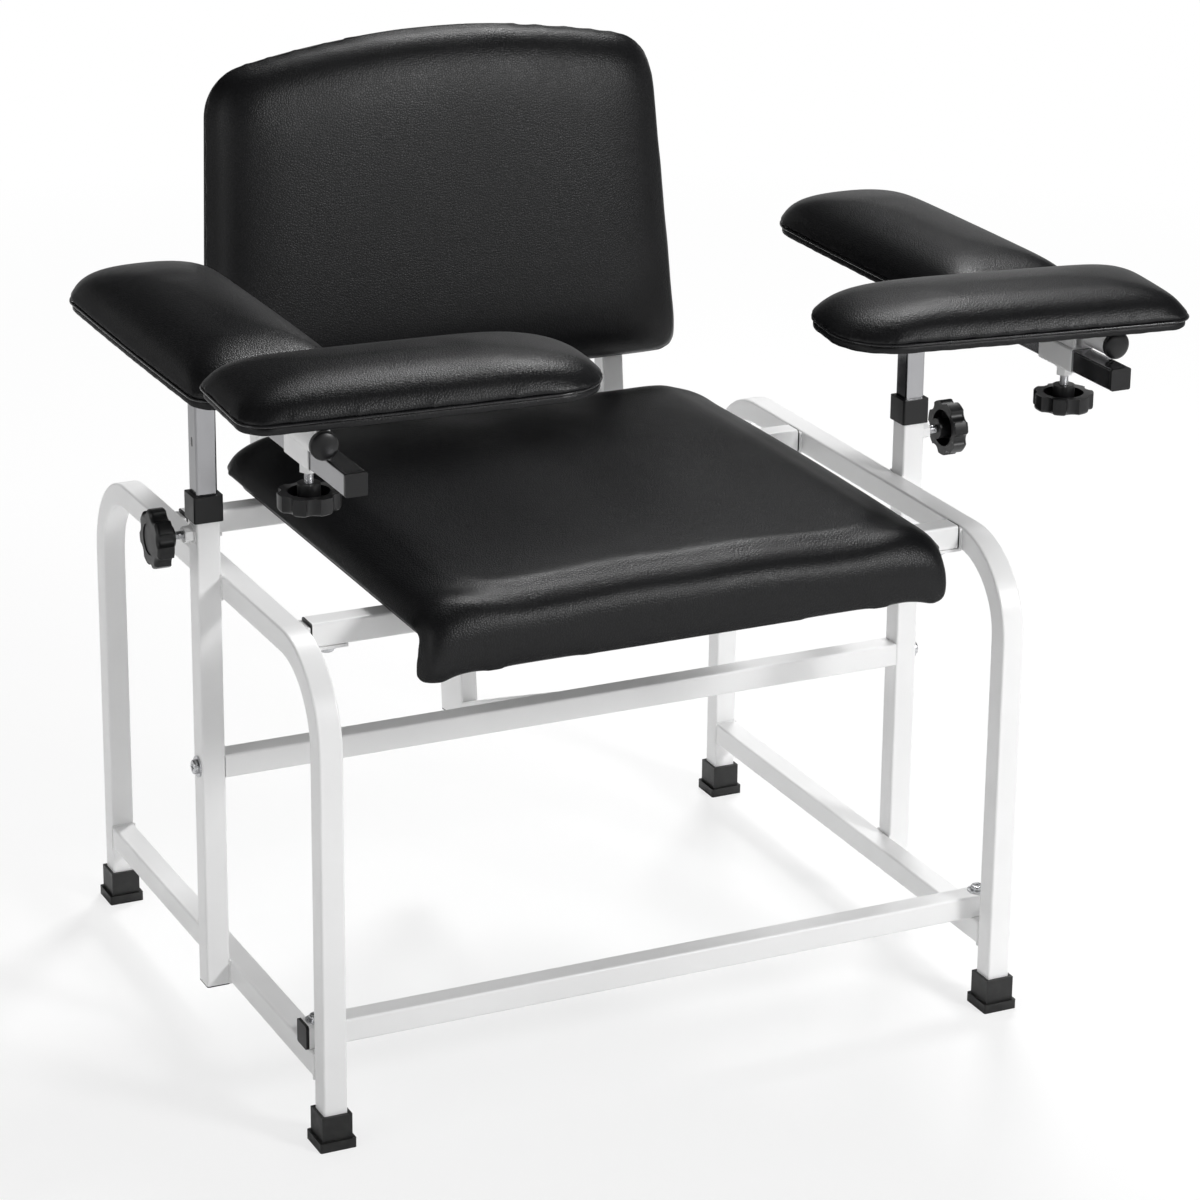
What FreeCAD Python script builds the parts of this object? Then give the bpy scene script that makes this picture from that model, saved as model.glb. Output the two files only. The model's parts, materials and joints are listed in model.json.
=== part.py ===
import FreeCAD, Part

import math
import os

import Sketcher
from FreeCAD import Placement, Rotation, Vector

# A blood-drawing chair. X runs to the sitter's left, Y to the back and Z up.
# The floor is at Z zero, under the middle of the four legs. Lengths are in millimetres.

SIZES = {
    # square steel tube
    "tube": 25,
    "tube_wall": 1.2,
    "tube_corner": 2.5,
    "slide_gap": 0.3,
    "plug_gap": 0.1,
    # side frames
    "frame_width": 775,
    "frame_depth": 660,
    "rail_top": 512,
    "rail_bend": 87.5,
    "low_rail_top": 91.5,
    # feet
    "foot_width": 38,
    "foot_flange": 10,
    "foot_tall": 36,
    "foot_floor": 5,
    "foot_wall": 3.2,
    "foot_fit": 0.1,
    "foot_round": 2,
    # bars across the frame
    "front_bar_setback": 37,
    "mid_bar_top": 319,
    "seat_bar_top": 514,
    "front_seat_bar_setback": 103,
    "rear_seat_bar_setback": 205,
    "seat_bar_gap": 5,
    "plug_rim": 1.2,
    "low_plug_rim": 3.2,
    "plug_depth": 8,
    "bracket_plate": 3,
    "bracket_reach": 42,
    "bracket_gap": 0.4,
    "bracket_bolt": 19,
    # seat
    "seat_half_width": 289,
    "seat_board_edge": 275,
    "seat_board": 10,
    "seat_board_gap": 0.3,
    "seat_back_edge": 236,
    "seat_overhang": 27,
    "seat_top": 565,
    "seat_side_top": 535,
    "seat_side_roll": 60,
    "seat_shoulder": 46,
    "seat_rear_round": 62,
    "seat_front_round": 16,
    "seat_lip_low": 480,
    "seat_lip_wall": 24,
    "seat_lip_lean": 6,
    "seat_bulge": 5,
    "seat_crown": 5,
    # backrest, measured up its own lean
    "back_low": 572,
    "back_plane": 214.5,
    "back_tall": 393,
    "back_half_low": 282,
    "back_half_high": 259,
    "back_arch": 26,
    "back_round_high": 56,
    "back_round_low": 20,
    "back_board": 9,
    "back_board_inset": 7,
    "back_padding": 46,
    "back_tube_spread": 208,
    "back_tube_top": 300,
    "back_tube_bend": 62,
    "back_tube_end": 20,
    "stay_width": 20,
    "stay_depth": 60,
    "stay_low": 192,
    "brace_side": 20,
    "cross_tube_top": 530,
    # arm posts and sliding arms
    "post_setback": 57,
    "post_low": 66,
    "post_top": 594,
    "collar_low": 570,
    "collar_wall": 2.8,
    "collar_cap": 3,
    "collar_fit": 0.1,
    "arm_tube_low": 425,
    "bar_low": 719,
    "bar_front": 460,
    "bar_back": 120,
    "arm_corner": 2,
    "bar_cap": 3.5,
    "nut_height": 556,
    "nut_across": 15.5,
    "nut_tall": 10,
    "stud": 4,
    "stud_seat_gap": 0.3,
    "stud_bare": 11,
    # star knobs
    "knob": 30,
    "knob_body": 17,
    "knob_hub": 11,
    "knob_hub_rise": 8,
    "knob_hollow": 20,
    "knob_hollow_deep": 10,
    "knob_round": 4,
    "knob_notch": 9,
    "knob_notch_out": 35,
    "knob_lobes": 7,
    "knob_dish": 16,
    "knob_dish_deep": 1,
    # front pad carriers
    "left_carrier": 346,
    "right_carrier": 361,
    "sleeve_long": 60,
    "pivot": 12.5,
    "pivot_pin": 9.5,
    "pivot_fit": 0.05,
    "knuckle_front": 39,
    "knuckle_back": 15,
    "knuckle_gap": 0.3,
    "pivot_cap": 13.8,
    "pivot_cap_long": 4,
    "plate": 3,
    "plate_width": 52,
    "stop_gap": 0.3,
    # arm pads
    "pad_width": 161,
    "front_pad_long": 366,
    "rear_pad_long": 429,
    "pad_board": 8,
    "pad_board_inset": 4,
    "front_pad_padding": 37,
    "rear_pad_padding": 46.5,
    "pad_round_corner": 60,
    "pad_square_corner": 28,
    "pad_round_slope": 176,
    "pad_square_slope": 115,
    "pad_bow": 2,
    "left_front_pad_out": 86.5,
    "right_front_pad_out": 99,
    "left_front_pad_ahead": 1,
    "right_front_pad_ahead": 13,
    "left_rear_pad_back": 187,
    "right_rear_pad_back": 163,
    "rear_pad_aside": 9,
    # screws
    "bolt": 4,
    "bolt_fit": 0.2,
    "bolt_reach": 6,
    "head": 7.6,
    "head_tall": 4.6,
    "head_round": 2,
    "washer": 11,
    "washer_tall": 1.6,
    "recess": 7.5,
    "recess_wide": 1.6,
    "recess_deep": 2,
    "back_bolt_low": 60,
    "back_bolt_high": 240,
}

# Degrees.
ANGLES = {
    "back_lean": 6.28,
    "left_front_pad_turn": 3,
    "right_front_pad_turn": 7.3,
}

doc = FreeCAD.newDocument("BloodDrawingChair")
sheet = doc.addObject("Spreadsheet::Sheet", "Sizes")
for row, (alias, number) in enumerate({**SIZES, **ANGLES}.items(), start=1):
    sheet.set("A%d" % row, alias)
    sheet.set("B%d" % row, str(number))
    sheet.setAlias("B%d" % row, alias)
doc.recompute()


class Size:
    """A length from the sheet, with the expression that works it out."""

    def __init__(self, number, text):
        self.number = float(number)
        self.text = text

    def __float__(self):
        return self.number

    def _with(self, sign, other, number):
        text = other.text if isinstance(other, Size) else repr(other)
        return Size(number, "(%s %s %s)" % (self.text, sign, text))

    def __add__(self, other):
        return self._with("+", other, self.number + float(other))

    def __sub__(self, other):
        return self._with("-", other, self.number - float(other))

    def __mul__(self, other):
        return self._with("*", other, self.number * float(other))

    def __truediv__(self, other):
        return self._with("/", other, self.number / float(other))

    def __neg__(self):
        return Size(-self.number, "(-1 * %s)" % self.text)


class Sheet:
    """The sheet's sizes, read by their aliases."""

    def __getattr__(self, alias):
        return Size(sheet.get(alias), "Sizes." + alias)


s = Sheet()
ZERO = Size(0, "0")
X_AXIS = Vector(1, 0, 0)
Y_AXIS = Vector(0, 1, 0)
Z_AXIS = Vector(0, 0, 1)
ALONG_X = Rotation(Z_AXIS, X_AXIS)
ALONG_Y = Rotation(Z_AXIS, Y_AXIS)
ALONG_Z = Rotation()
DOWN = Rotation(Z_AXIS, -Z_AXIS)
BACK = Rotation(Z_AXIS, -Y_AXIS)
LEFT, RIGHT = -1, 1
SIDES = (("left", LEFT), ("right", RIGHT))

# Places that several pieces share
half_tube = s.tube / 2
bore = s.tube - s.tube_wall * 2
arm_side = bore - s.slide_gap * 2
half_arm = arm_side / 2
frame_half = s.frame_width / 2
rail_inner = frame_half - s.tube
leg_x = frame_half - half_tube
leg_y = s.frame_depth / 2 - half_tube
leg_inner_y = s.frame_depth / 2 - s.tube
post_x = frame_half + half_tube
bar_mid_z = s.bar_low + half_arm
bar_top = s.bar_low + arm_side
sleeve_side = s.tube
sleeve_top = bar_mid_z + half_tube
sleeve_low = bar_mid_z - half_tube
pivot_x = post_x + half_tube
pivot_z = sleeve_top + s.pivot
plate_low = pivot_z + s.pivot + s.plate / 2
front_pad_low = plate_low + s.plate
rear_pad_low = bar_top

nodes = {}


def bind(thing, name, size):
    """Tie one property of an object to a size of the sheet."""
    thing.setExpression(name, size.text)


def place(thing, x, y, z, turn=ALONG_Z):
    """Put an object at a place worked out from the sheet."""
    thing.Placement = Placement(Vector(float(x), float(y), float(z)), turn)
    bind(thing, "Placement.Base.x", x)
    bind(thing, "Placement.Base.y", y)
    bind(thing, "Placement.Base.z", z)


def node(label, thing):
    """Name a finished sub-part."""
    thing.Label = label
    nodes[label] = thing
    return thing


def edges_along(shape, direction, behind=None):
    """Names of the straight edges along a direction: all, or those behind or not behind the middle."""
    names = []
    middle = shape.BoundBox.Center.y
    for index, edge in enumerate(shape.Edges, start=1):
        straight = isinstance(edge.Curve, Part.Line)
        wanted = behind is None or (edge.BoundBox.Center.y > middle) == behind
        if straight and wanted and abs(edge.Curve.Direction.dot(direction)) > 0.999:
            names.append("Edge%d" % index)
    return names


def box_feature(body, kind, wide, deep, tall, x, y, z):
    """Add or cut a box inside a body, from its middle in X and Y and its low end in Z."""
    box = body.newObject("PartDesign::%sBox" % kind, kind + "Box")
    bind(box, "Length", wide)
    bind(box, "Width", deep)
    bind(box, "Height", tall)
    place(box, x - wide / 2, y - deep / 2, z)
    return box


def cylinder_feature(body, kind, radius, tall, x, y, z, turn=ALONG_Z):
    """Add or cut a cylinder inside a body, from the middle of its low end."""
    cylinder = body.newObject("PartDesign::%sCylinder" % kind, kind + "Cylinder")
    bind(cylinder, "Radius", radius)
    bind(cylinder, "Height", tall)
    place(cylinder, x, y, z, turn)
    return cylinder


def round_edges(body, base, names, radius):
    """Round named edges of a body's last feature."""
    fillet = body.newObject("PartDesign::Fillet", "Round")
    fillet.Base = (base, names)
    bind(fillet, "Radius", radius)
    return fillet


def tube_body(label, wide, deep, long, corner, wall):
    """Hollow tube with round corners, standing on the middle of its low end."""
    body = doc.addObject("PartDesign::Body", label)
    outside = box_feature(body, "Additive", wide, deep, long, ZERO, ZERO, ZERO)
    doc.recompute()
    round_edges(body, outside, edges_along(outside.Shape, Z_AXIS), corner)
    box_feature(body, "Subtractive", wide - wall * 2, deep - wall * 2, long, ZERO, ZERO, ZERO)
    return body


def frame_tube(label, start, end, x, y, z, turn):
    """Frame tube between two places along its own direction."""
    body = tube_body(label, s.tube, s.tube, end - start, s.tube_corner, s.tube_wall)
    place(body, x, y, z, turn)
    return body


def block(label, wide, deep, tall, x, y, z, turn=ALONG_Z):
    """Plain block, from the middle of its low end."""
    box = doc.addObject("Part::Box", label)
    bind(box, "Length", wide)
    bind(box, "Width", deep)
    bind(box, "Height", tall)
    place(box, x - wide / 2, y - deep / 2, z, turn)
    return box


def rod(label, radius, long, x, y, z, turn=ALONG_Z):
    """Plain round rod, from the middle of its first end."""
    cylinder = doc.addObject("Part::Cylinder", label)
    bind(cylinder, "Radius", radius)
    bind(cylinder, "Height", long)
    place(cylinder, x, y, z, turn)
    return cylinder


def group(label, members):
    """Sub-part made of several loose solids of one kind."""
    compound = doc.addObject("Part::Compound", label)
    compound.Links = members
    return node(label, compound)


def joined(label, members):
    """One solid from several that touch."""
    union = doc.addObject("Part::MultiFuse", label)
    union.Shapes = members
    return union


def cut(label, base, tools):
    """A solid with others cut out of it."""
    tool = tools[0] if len(tools) == 1 else joined(label + "_tools", tools)
    result = doc.addObject("Part::Cut", label)
    result.Base = base
    result.Tool = tool
    return result


def plug(label, rim, x, y, z, turn, wide=s.tube, deep=s.tube, corner=s.tube_corner):
    """End plug: a rim that lies on the tube's end, and a block inside the tube."""
    body = doc.addObject("PartDesign::Body", label)
    cap = box_feature(body, "Additive", wide, deep, rim, ZERO, ZERO, ZERO)
    doc.recompute()
    round_edges(body, cap, edges_along(cap.Shape, Z_AXIS), corner)
    margin = (s.tube_wall + s.plug_gap) * 2
    box_feature(body, "Additive", wide - margin, deep - margin, s.plug_depth,
                ZERO, ZERO, -s.plug_depth)
    place(body, x, y, z, turn)
    return body


def bolt_hole(body, along, x, y, z):
    """Hole for a screw through one wall of a tube body, about a place on its outer face."""
    deep = s.tube_wall * 3
    cylinder_feature(body, "Subtractive", s.bolt + s.bolt_fit, deep, x, y, z, along)


def pan_bolt(label, shank, x, y, z, turn):
    """Round-headed screw with a washer and a cross recess. Z is zero under the washer."""
    body = doc.addObject("PartDesign::Body", label)
    cylinder_feature(body, "Additive", s.washer, s.washer_tall, ZERO, ZERO, ZERO)
    head = cylinder_feature(body, "Additive", s.head, s.head_tall, ZERO, ZERO, s.washer_tall)
    doc.recompute()
    top = [
        "Edge%d" % index
        for index, edge in enumerate(head.Shape.Edges, start=1)
        if abs(edge.BoundBox.ZMin - float(s.washer_tall + s.head_tall)) < 0.01
    ]
    round_edges(body, head, top, s.head_round)
    floor = s.washer_tall + s.head_tall - s.recess_deep
    box_feature(body, "Subtractive", s.recess, s.recess_wide, s.recess_deep, ZERO, ZERO, floor)
    box_feature(body, "Subtractive", s.recess_wide, s.recess, s.recess_deep, ZERO, ZERO, floor)
    cylinder_feature(body, "Additive", s.bolt, shank, ZERO, ZERO, -shank)
    place(body, x, y, z, turn)
    return body


def hex_prism(label, across, tall, x, y, z, turn):
    """Hexagonal nut blank."""
    prism = doc.addObject("Part::Prism", label)
    prism.Polygon = 6
    bind(prism, "Circumradius", across / 2 / Size(math.cos(math.radians(30)), "cos(30 deg)"))
    bind(prism, "Height", tall)
    place(prism, x, y, z, turn)
    return prism


def side_frame(label, side):
    """Bent tube: front leg, top rail and rear leg in one piece."""
    body = doc.addObject("PartDesign::Body", label)
    planes = {plane.Role: plane for plane in body.Origin.OriginFeatures}
    path = body.newObject("Sketcher::SketchObject", "Path")
    path.AttachmentSupport = [(planes["YZ_Plane"], "")]
    path.MapMode = "FlatFace"
    low = float(s.foot_floor)
    top = float(s.rail_top - half_tube)
    reach = float(leg_y)
    bend = float(s.rail_bend)
    turn_z = top - bend
    turn_y = reach - bend
    quarter = math.pi / 2
    front_leg = path.addGeometry(Part.LineSegment(Vector(-reach, low), Vector(-reach, turn_z)))
    front_bend = path.addGeometry(
        Part.ArcOfCircle(Part.Circle(Vector(-turn_y, turn_z), Z_AXIS, bend), quarter, math.pi)
    )
    rail = path.addGeometry(Part.LineSegment(Vector(-turn_y, top), Vector(turn_y, top)))
    rear_bend = path.addGeometry(
        Part.ArcOfCircle(Part.Circle(Vector(turn_y, turn_z), Z_AXIS, bend), 0, quarter)
    )
    rear_leg = path.addGeometry(Part.LineSegment(Vector(reach, turn_z), Vector(reach, low)))
    first, last, axis = 1, 2, -2
    rule = Sketcher.Constraint
    path.addConstraint(rule("Tangent", front_leg, last, front_bend, last))
    path.addConstraint(rule("Tangent", front_bend, first, rail, first))
    path.addConstraint(rule("Tangent", rail, last, rear_bend, last))
    path.addConstraint(rule("Tangent", rear_bend, first, rear_leg, first))
    path.addConstraint(rule("Vertical", front_leg))
    path.addConstraint(rule("Vertical", rear_leg))
    path.addConstraint(rule("Horizontal", rail))
    path.addConstraint(rule("Symmetric", front_leg, first, rear_leg, last, axis))
    path.addConstraint(rule("Equal", front_bend, rear_bend))
    radius = path.addConstraint(rule("Radius", front_bend, bend))
    width = path.addConstraint(rule("DistanceX", front_leg, first, rear_leg, last, 2 * reach))
    height = path.addConstraint(rule("DistanceY", front_leg, first, rail, first, top - low))
    base = path.addConstraint(rule("DistanceY", -1, first, front_leg, first, low))
    bind(path, "Constraints[%d]" % radius, s.rail_bend)
    bind(path, "Constraints[%d]" % width, leg_y * 2)
    bind(path, "Constraints[%d]" % height, s.rail_top - half_tube - s.foot_floor)
    bind(path, "Constraints[%d]" % base, s.foot_floor)
    section = body.newObject("Sketcher::SketchObject", "Section")
    section.AttachmentSupport = [(planes["XY_Plane"], "")]
    section.MapMode = "FlatFace"
    section.AttachmentOffset = Placement(Vector(0, -reach, low), ALONG_Z)
    bind(section, "AttachmentOffset.Base.y", -leg_y)
    bind(section, "AttachmentOffset.Base.z", s.foot_floor)
    square_outline(section, s.tube, s.tube_corner)
    square_outline(section, bore, s.tube_corner - s.tube_wall)
    doc.recompute()
    pipe = body.newObject("PartDesign::AdditivePipe", "Pipe")
    pipe.Profile = section
    pipe.Spine = path
    place(body, leg_x * side, ZERO, ZERO)
    return node(label, body)


def square_outline(sketch, wide, corner):
    """Round-cornered square about the sketch's middle."""
    half = float(wide) / 2
    radius = float(corner)
    inner = half - radius
    quarter = math.pi / 2
    corners = ((1, 1), (-1, 1), (-1, -1), (1, -1))
    sides, arcs = [], []
    for index, (across, up) in enumerate(corners):
        centre = Vector(across * inner, up * inner)
        start = quarter * index
        circle = Part.Circle(centre, Z_AXIS, radius)
        arcs.append(sketch.addGeometry(Part.ArcOfCircle(circle, start, start + quarter)))
        next_across, next_up = corners[(index + 1) % 4]
        out = Vector(math.cos(start + quarter), math.sin(start + quarter)) * radius
        begin = centre + out
        end = Vector(next_across * inner, next_up * inner) + out
        sides.append(sketch.addGeometry(Part.LineSegment(begin, end)))
    rule = Sketcher.Constraint
    for index in range(4):
        sketch.addConstraint(rule("Tangent", arcs[index], 2, sides[index], 1))
        sketch.addConstraint(rule("Tangent", sides[index], 2, arcs[(index + 1) % 4], 1))
    for index in (0, 2):
        sketch.addConstraint(rule("Horizontal", sides[index]))
        sketch.addConstraint(rule("Vertical", sides[index + 1]))
    for index in range(1, 4):
        sketch.addConstraint(rule("Equal", arcs[0], arcs[index]))
    sketch.addConstraint(rule("Symmetric", arcs[0], 3, arcs[2], 3, -1, 1))
    round_rule = sketch.addConstraint(rule("Radius", arcs[0], radius))
    wide_rule = sketch.addConstraint(rule("DistanceX", arcs[1], 3, arcs[0], 3, 2 * inner))
    tall_rule = sketch.addConstraint(rule("DistanceY", arcs[3], 3, arcs[0], 3, 2 * inner))
    bind(sketch, "Constraints[%d]" % round_rule, corner)
    bind(sketch, "Constraints[%d]" % wide_rule, wide - corner * 2)
    bind(sketch, "Constraints[%d]" % tall_rule, wide - corner * 2)


# Side frames, their low rails and feet
def build_side_frames():
    for name, side in SIDES:
        side_frame(name + "_side_frame", side)
        rail = frame_tube(
            name + "_low_rail", -leg_inner_y, leg_inner_y,
            leg_x * side, -leg_inner_y, s.low_rail_top - half_tube, ALONG_Y,
        )
        node(name + "_low_rail", rail)


def foot(label, x, y):
    """Rubber shoe: a square base and a sleeve that the leg stands in."""
    body = doc.addObject("PartDesign::Body", label)
    base = box_feature(body, "Additive", s.foot_width, s.foot_width, s.foot_flange, ZERO, ZERO, ZERO)
    doc.recompute()
    round_edges(body, base, edges_along(base.Shape, Z_AXIS), s.foot_round)
    hole = s.tube + s.foot_fit * 2
    outer = hole + s.foot_wall * 2
    box_feature(body, "Additive", outer, outer, s.foot_tall, ZERO, ZERO, ZERO)
    box_feature(body, "Subtractive", hole, hole, s.foot_tall, ZERO, ZERO, s.foot_floor)
    place(body, x, y, ZERO)
    return node(label, body)


def build_feet():
    for name, side in SIDES:
        foot("front_%s_foot" % name, leg_x * side, -leg_y)
        foot("rear_%s_foot" % name, leg_x * side, leg_y)


# Bars that join the two sides
front_bar_y = -(s.frame_depth / 2 - s.front_bar_setback - half_tube)
front_bar_low = s.low_rail_top
mid_bar_z = s.mid_bar_top - half_tube
post_y = -s.post_setback
seat_bar_z = s.seat_bar_top - half_tube
seat_bar_low = s.seat_bar_top - s.tube
seat_bar_half = rail_inner - s.seat_bar_gap
front_seat_bar_y = -(s.frame_depth / 2 - s.front_seat_bar_setback)
rear_seat_bar_y = s.frame_depth / 2 - s.rear_seat_bar_setback
seat_bars = (("front", front_seat_bar_y), ("rear", rear_seat_bar_y))
bracket_bolt_x = seat_bar_half - s.bracket_bolt
bracket_low = seat_bar_low - s.bracket_plate
back_tube_low = seat_bar_low - s.tube


def build_bars():
    low_bar_z = front_bar_low + half_tube
    front_bar = frame_tube(
        "front_crossbar", -frame_half, frame_half, -frame_half, front_bar_y, low_bar_z, ALONG_X)
    for _, side in SIDES:
        # the tube's own -X face looks up
        bolt_hole(front_bar, ALONG_X, -half_tube - s.tube_wall, ZERO, frame_half + leg_x * side)
    node("front_crossbar", front_bar)
    node("mid_crossbar", frame_tube(
        "mid_crossbar", -frame_half, frame_half, -frame_half, post_y, mid_bar_z, ALONG_X))
    low_plugs, seat_plugs = [], []
    for name, side in SIDES:
        outward = Rotation(Z_AXIS, X_AXIS * side)
        low_plugs.append(plug(
            name + "_low_plug", s.low_plug_rim, frame_half * side, front_bar_y, low_bar_z, outward))
        low_plugs.append(plug(
            name + "_post_plug", s.plug_rim, post_x * side, post_y, s.post_low, DOWN))
        for spot, y in seat_bars:
            seat_plugs.append(plug(
                "%s_%s_seat_plug" % (spot, name), s.plug_rim, seat_bar_half * side, y,
                seat_bar_z, outward))
    low_plugs.append(stay_plug())
    group("low_tube_plugs", low_plugs)
    group("seat_bar_plugs", seat_plugs)
    for spot, y in seat_bars:
        label = spot + "_seat_bar"
        bar = frame_tube(label, -seat_bar_half, seat_bar_half, -seat_bar_half, y, seat_bar_z, ALONG_X)
        for _, side in SIDES:
            for x in (bracket_bolt_x, s.back_tube_spread):
                # the tube's own +X face looks down
                bolt_hole(bar, ALONG_X, half_tube - s.tube_wall * 2, ZERO, seat_bar_half + x * side)
        node(label, bar)


def build_brackets():
    """Angles welded to the rails, which carry the ends of the seat bars."""
    brackets, bolts = [], []
    upright_tall = s.tube - s.bracket_gap
    for name, side in SIDES:
        for spot, y in seat_bars:
            label = "%s_%s_bracket" % (spot, name)
            shelf = block(label + "_shelf", s.bracket_reach, s.tube, s.bracket_plate,
                          (rail_inner - s.bracket_reach / 2) * side, y, bracket_low)
            wall = block(label + "_wall", s.bracket_plate, s.tube, upright_tall,
                         (rail_inner - s.bracket_plate / 2) * side, y, bracket_low)
            hole = rod(label + "_hole", s.bolt + s.bolt_fit, s.bracket_plate,
                       bracket_bolt_x * side, y, bracket_low)
            brackets.append(cut(label, joined(label + "_angle", [shelf, wall]), [hole]))
            bolts.append(pan_bolt(
                label + "_bolt", s.bracket_plate + s.bolt_reach,
                bracket_bolt_x * side, y, bracket_low, DOWN))
            bolts.append(pan_bolt(
                "%s_%s_back_tube_bolt" % (spot, name), s.tube + s.bolt_reach,
                s.back_tube_spread * side, y, back_tube_low, DOWN))
    group("seat_brackets", brackets)
    group("seat_bolts", bolts)


# Arm posts, with the nut for the height screw
nut_face = post_x + half_tube


def build_posts():
    bolts = []
    for name, side in SIDES:
        outward = Rotation(Z_AXIS, X_AXIS * side)
        tube = tube_body(name + "_post_tube", s.tube, s.tube, s.post_top - s.post_low,
                         s.tube_corner, s.tube_wall)
        place(tube, post_x * side, post_y, s.post_low)
        nut = hex_prism(name + "_post_nut", s.nut_across, s.nut_tall + s.tube_wall / 2,
                        (nut_face - s.tube_wall / 2) * side, post_y, s.nut_height, outward)
        screw_hole = rod(name + "_post_hole", s.stud + s.plug_gap, s.nut_tall + s.tube,
                         post_x * side, post_y, s.nut_height, outward)
        long_hole = rod(name + "_post_bolt_hole", s.bolt + s.bolt_fit, s.tube,
                        frame_half * side, post_y, mid_bar_z, outward)
        welded = joined(name + "_post_welded", [tube, nut])
        node(name + "_arm_post", cut(name + "_arm_post", welded, [screw_hole, long_hole]))
        collar(name + "_post_collar", post_x * side)
        bolts.append(pan_bolt(
            name + "_mid_bolt", s.tube + s.bolt_reach, nut_face * side, post_y, mid_bar_z, outward))
        bolts.append(pan_bolt(
            name + "_low_bolt", s.bolt_reach, leg_x * side, front_bar_y,
            front_bar_low + s.tube, ALONG_Z))
    group("crossbar_bolts", bolts)


def collar(label, x):
    """Plastic guide pressed over the top of a post."""
    body = doc.addObject("PartDesign::Body", label)
    hole = s.tube + s.collar_fit * 2
    outer = hole + s.collar_wall * 2
    skirt = s.post_top - s.collar_low
    shell = box_feature(body, "Additive", outer, outer, skirt + s.collar_cap, ZERO, ZERO, ZERO)
    doc.recompute()
    round_edges(body, shell, edges_along(shell.Shape, Z_AXIS), s.tube_corner)
    box_feature(body, "Subtractive", hole, hole, skirt, ZERO, ZERO, ZERO)
    guide = arm_side + s.slide_gap
    box_feature(body, "Subtractive", guide, guide, skirt + s.collar_cap, ZERO, ZERO, ZERO)
    place(body, x, post_y, s.collar_low)
    return node(label, body)


# Seat
seat_front = s.frame_depth / 2 + s.seat_overhang


def build_seat():
    board_back = s.seat_back_edge - s.seat_shoulder / 4
    board_front = seat_front - s.seat_lip_wall - s.seat_lip_lean - s.seat_board_gap
    depth = board_back + board_front
    board = doc.addObject("PartDesign::Body", "seat_board")
    slab = box_feature(board, "Additive", s.seat_board_edge * 2, depth, s.seat_board,
                       ZERO, board_back - depth / 2, ZERO)
    doc.recompute()
    rear = round_edges(board, slab, edges_along(slab.Shape, Z_AXIS, True), s.seat_rear_round)
    doc.recompute()
    round_edges(board, rear, edges_along(rear.Shape, Z_AXIS, False)[:2], s.seat_front_round / 2)
    place(board, ZERO, ZERO, s.seat_bar_top)
    node("seat_board", board)
    cushion = doc.addObject("Part::Feature", "seat_cushion")
    cushion.Shape = seat_cushion_shape()
    node("seat_cushion", cushion)


def corner_set_in(x, half, radius):
    """How far an edge is drawn in at x by a round corner of that radius."""
    beyond = x - (half - radius)
    if beyond <= 0:
        return 0
    return radius - math.sqrt(max(radius ** 2 - beyond ** 2, 0))


SEAT_SECTION_SHARES = (0, 0.4, 0.7, 0.81, 0.9, 0.955, 0.985, 0.998)
# How much of the rear corners' rounding the top edge follows, and of the front's the lip's edge.
REAR_CORNER_SHARE = 0.8
LIP_CORNER_SHARE = 0.4
# Height of the straight front and rear faces below their shoulders, as a share.
FACE_SHARE = 0.9
# Where the bowed front and rear faces pass, as shares of the lip's lean and of the rear bulge.
FRONT_BOW_SHARE = 0.3
REAR_BOW_SHARE = 0.2


def seat_cushion_shape():
    """Loft across the seat through its side profiles, drawn in towards both edges."""
    half = float(s.seat_half_width)
    sections = []
    for share in SEAT_SECTION_SHARES:
        sections.append(seat_profile(share * half))
    mirrored = [profile.mirror(Vector(), X_AXIS) for profile in reversed(sections[1:])]
    return Part.makeLoft(mirrored + sections, True, False)


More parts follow.
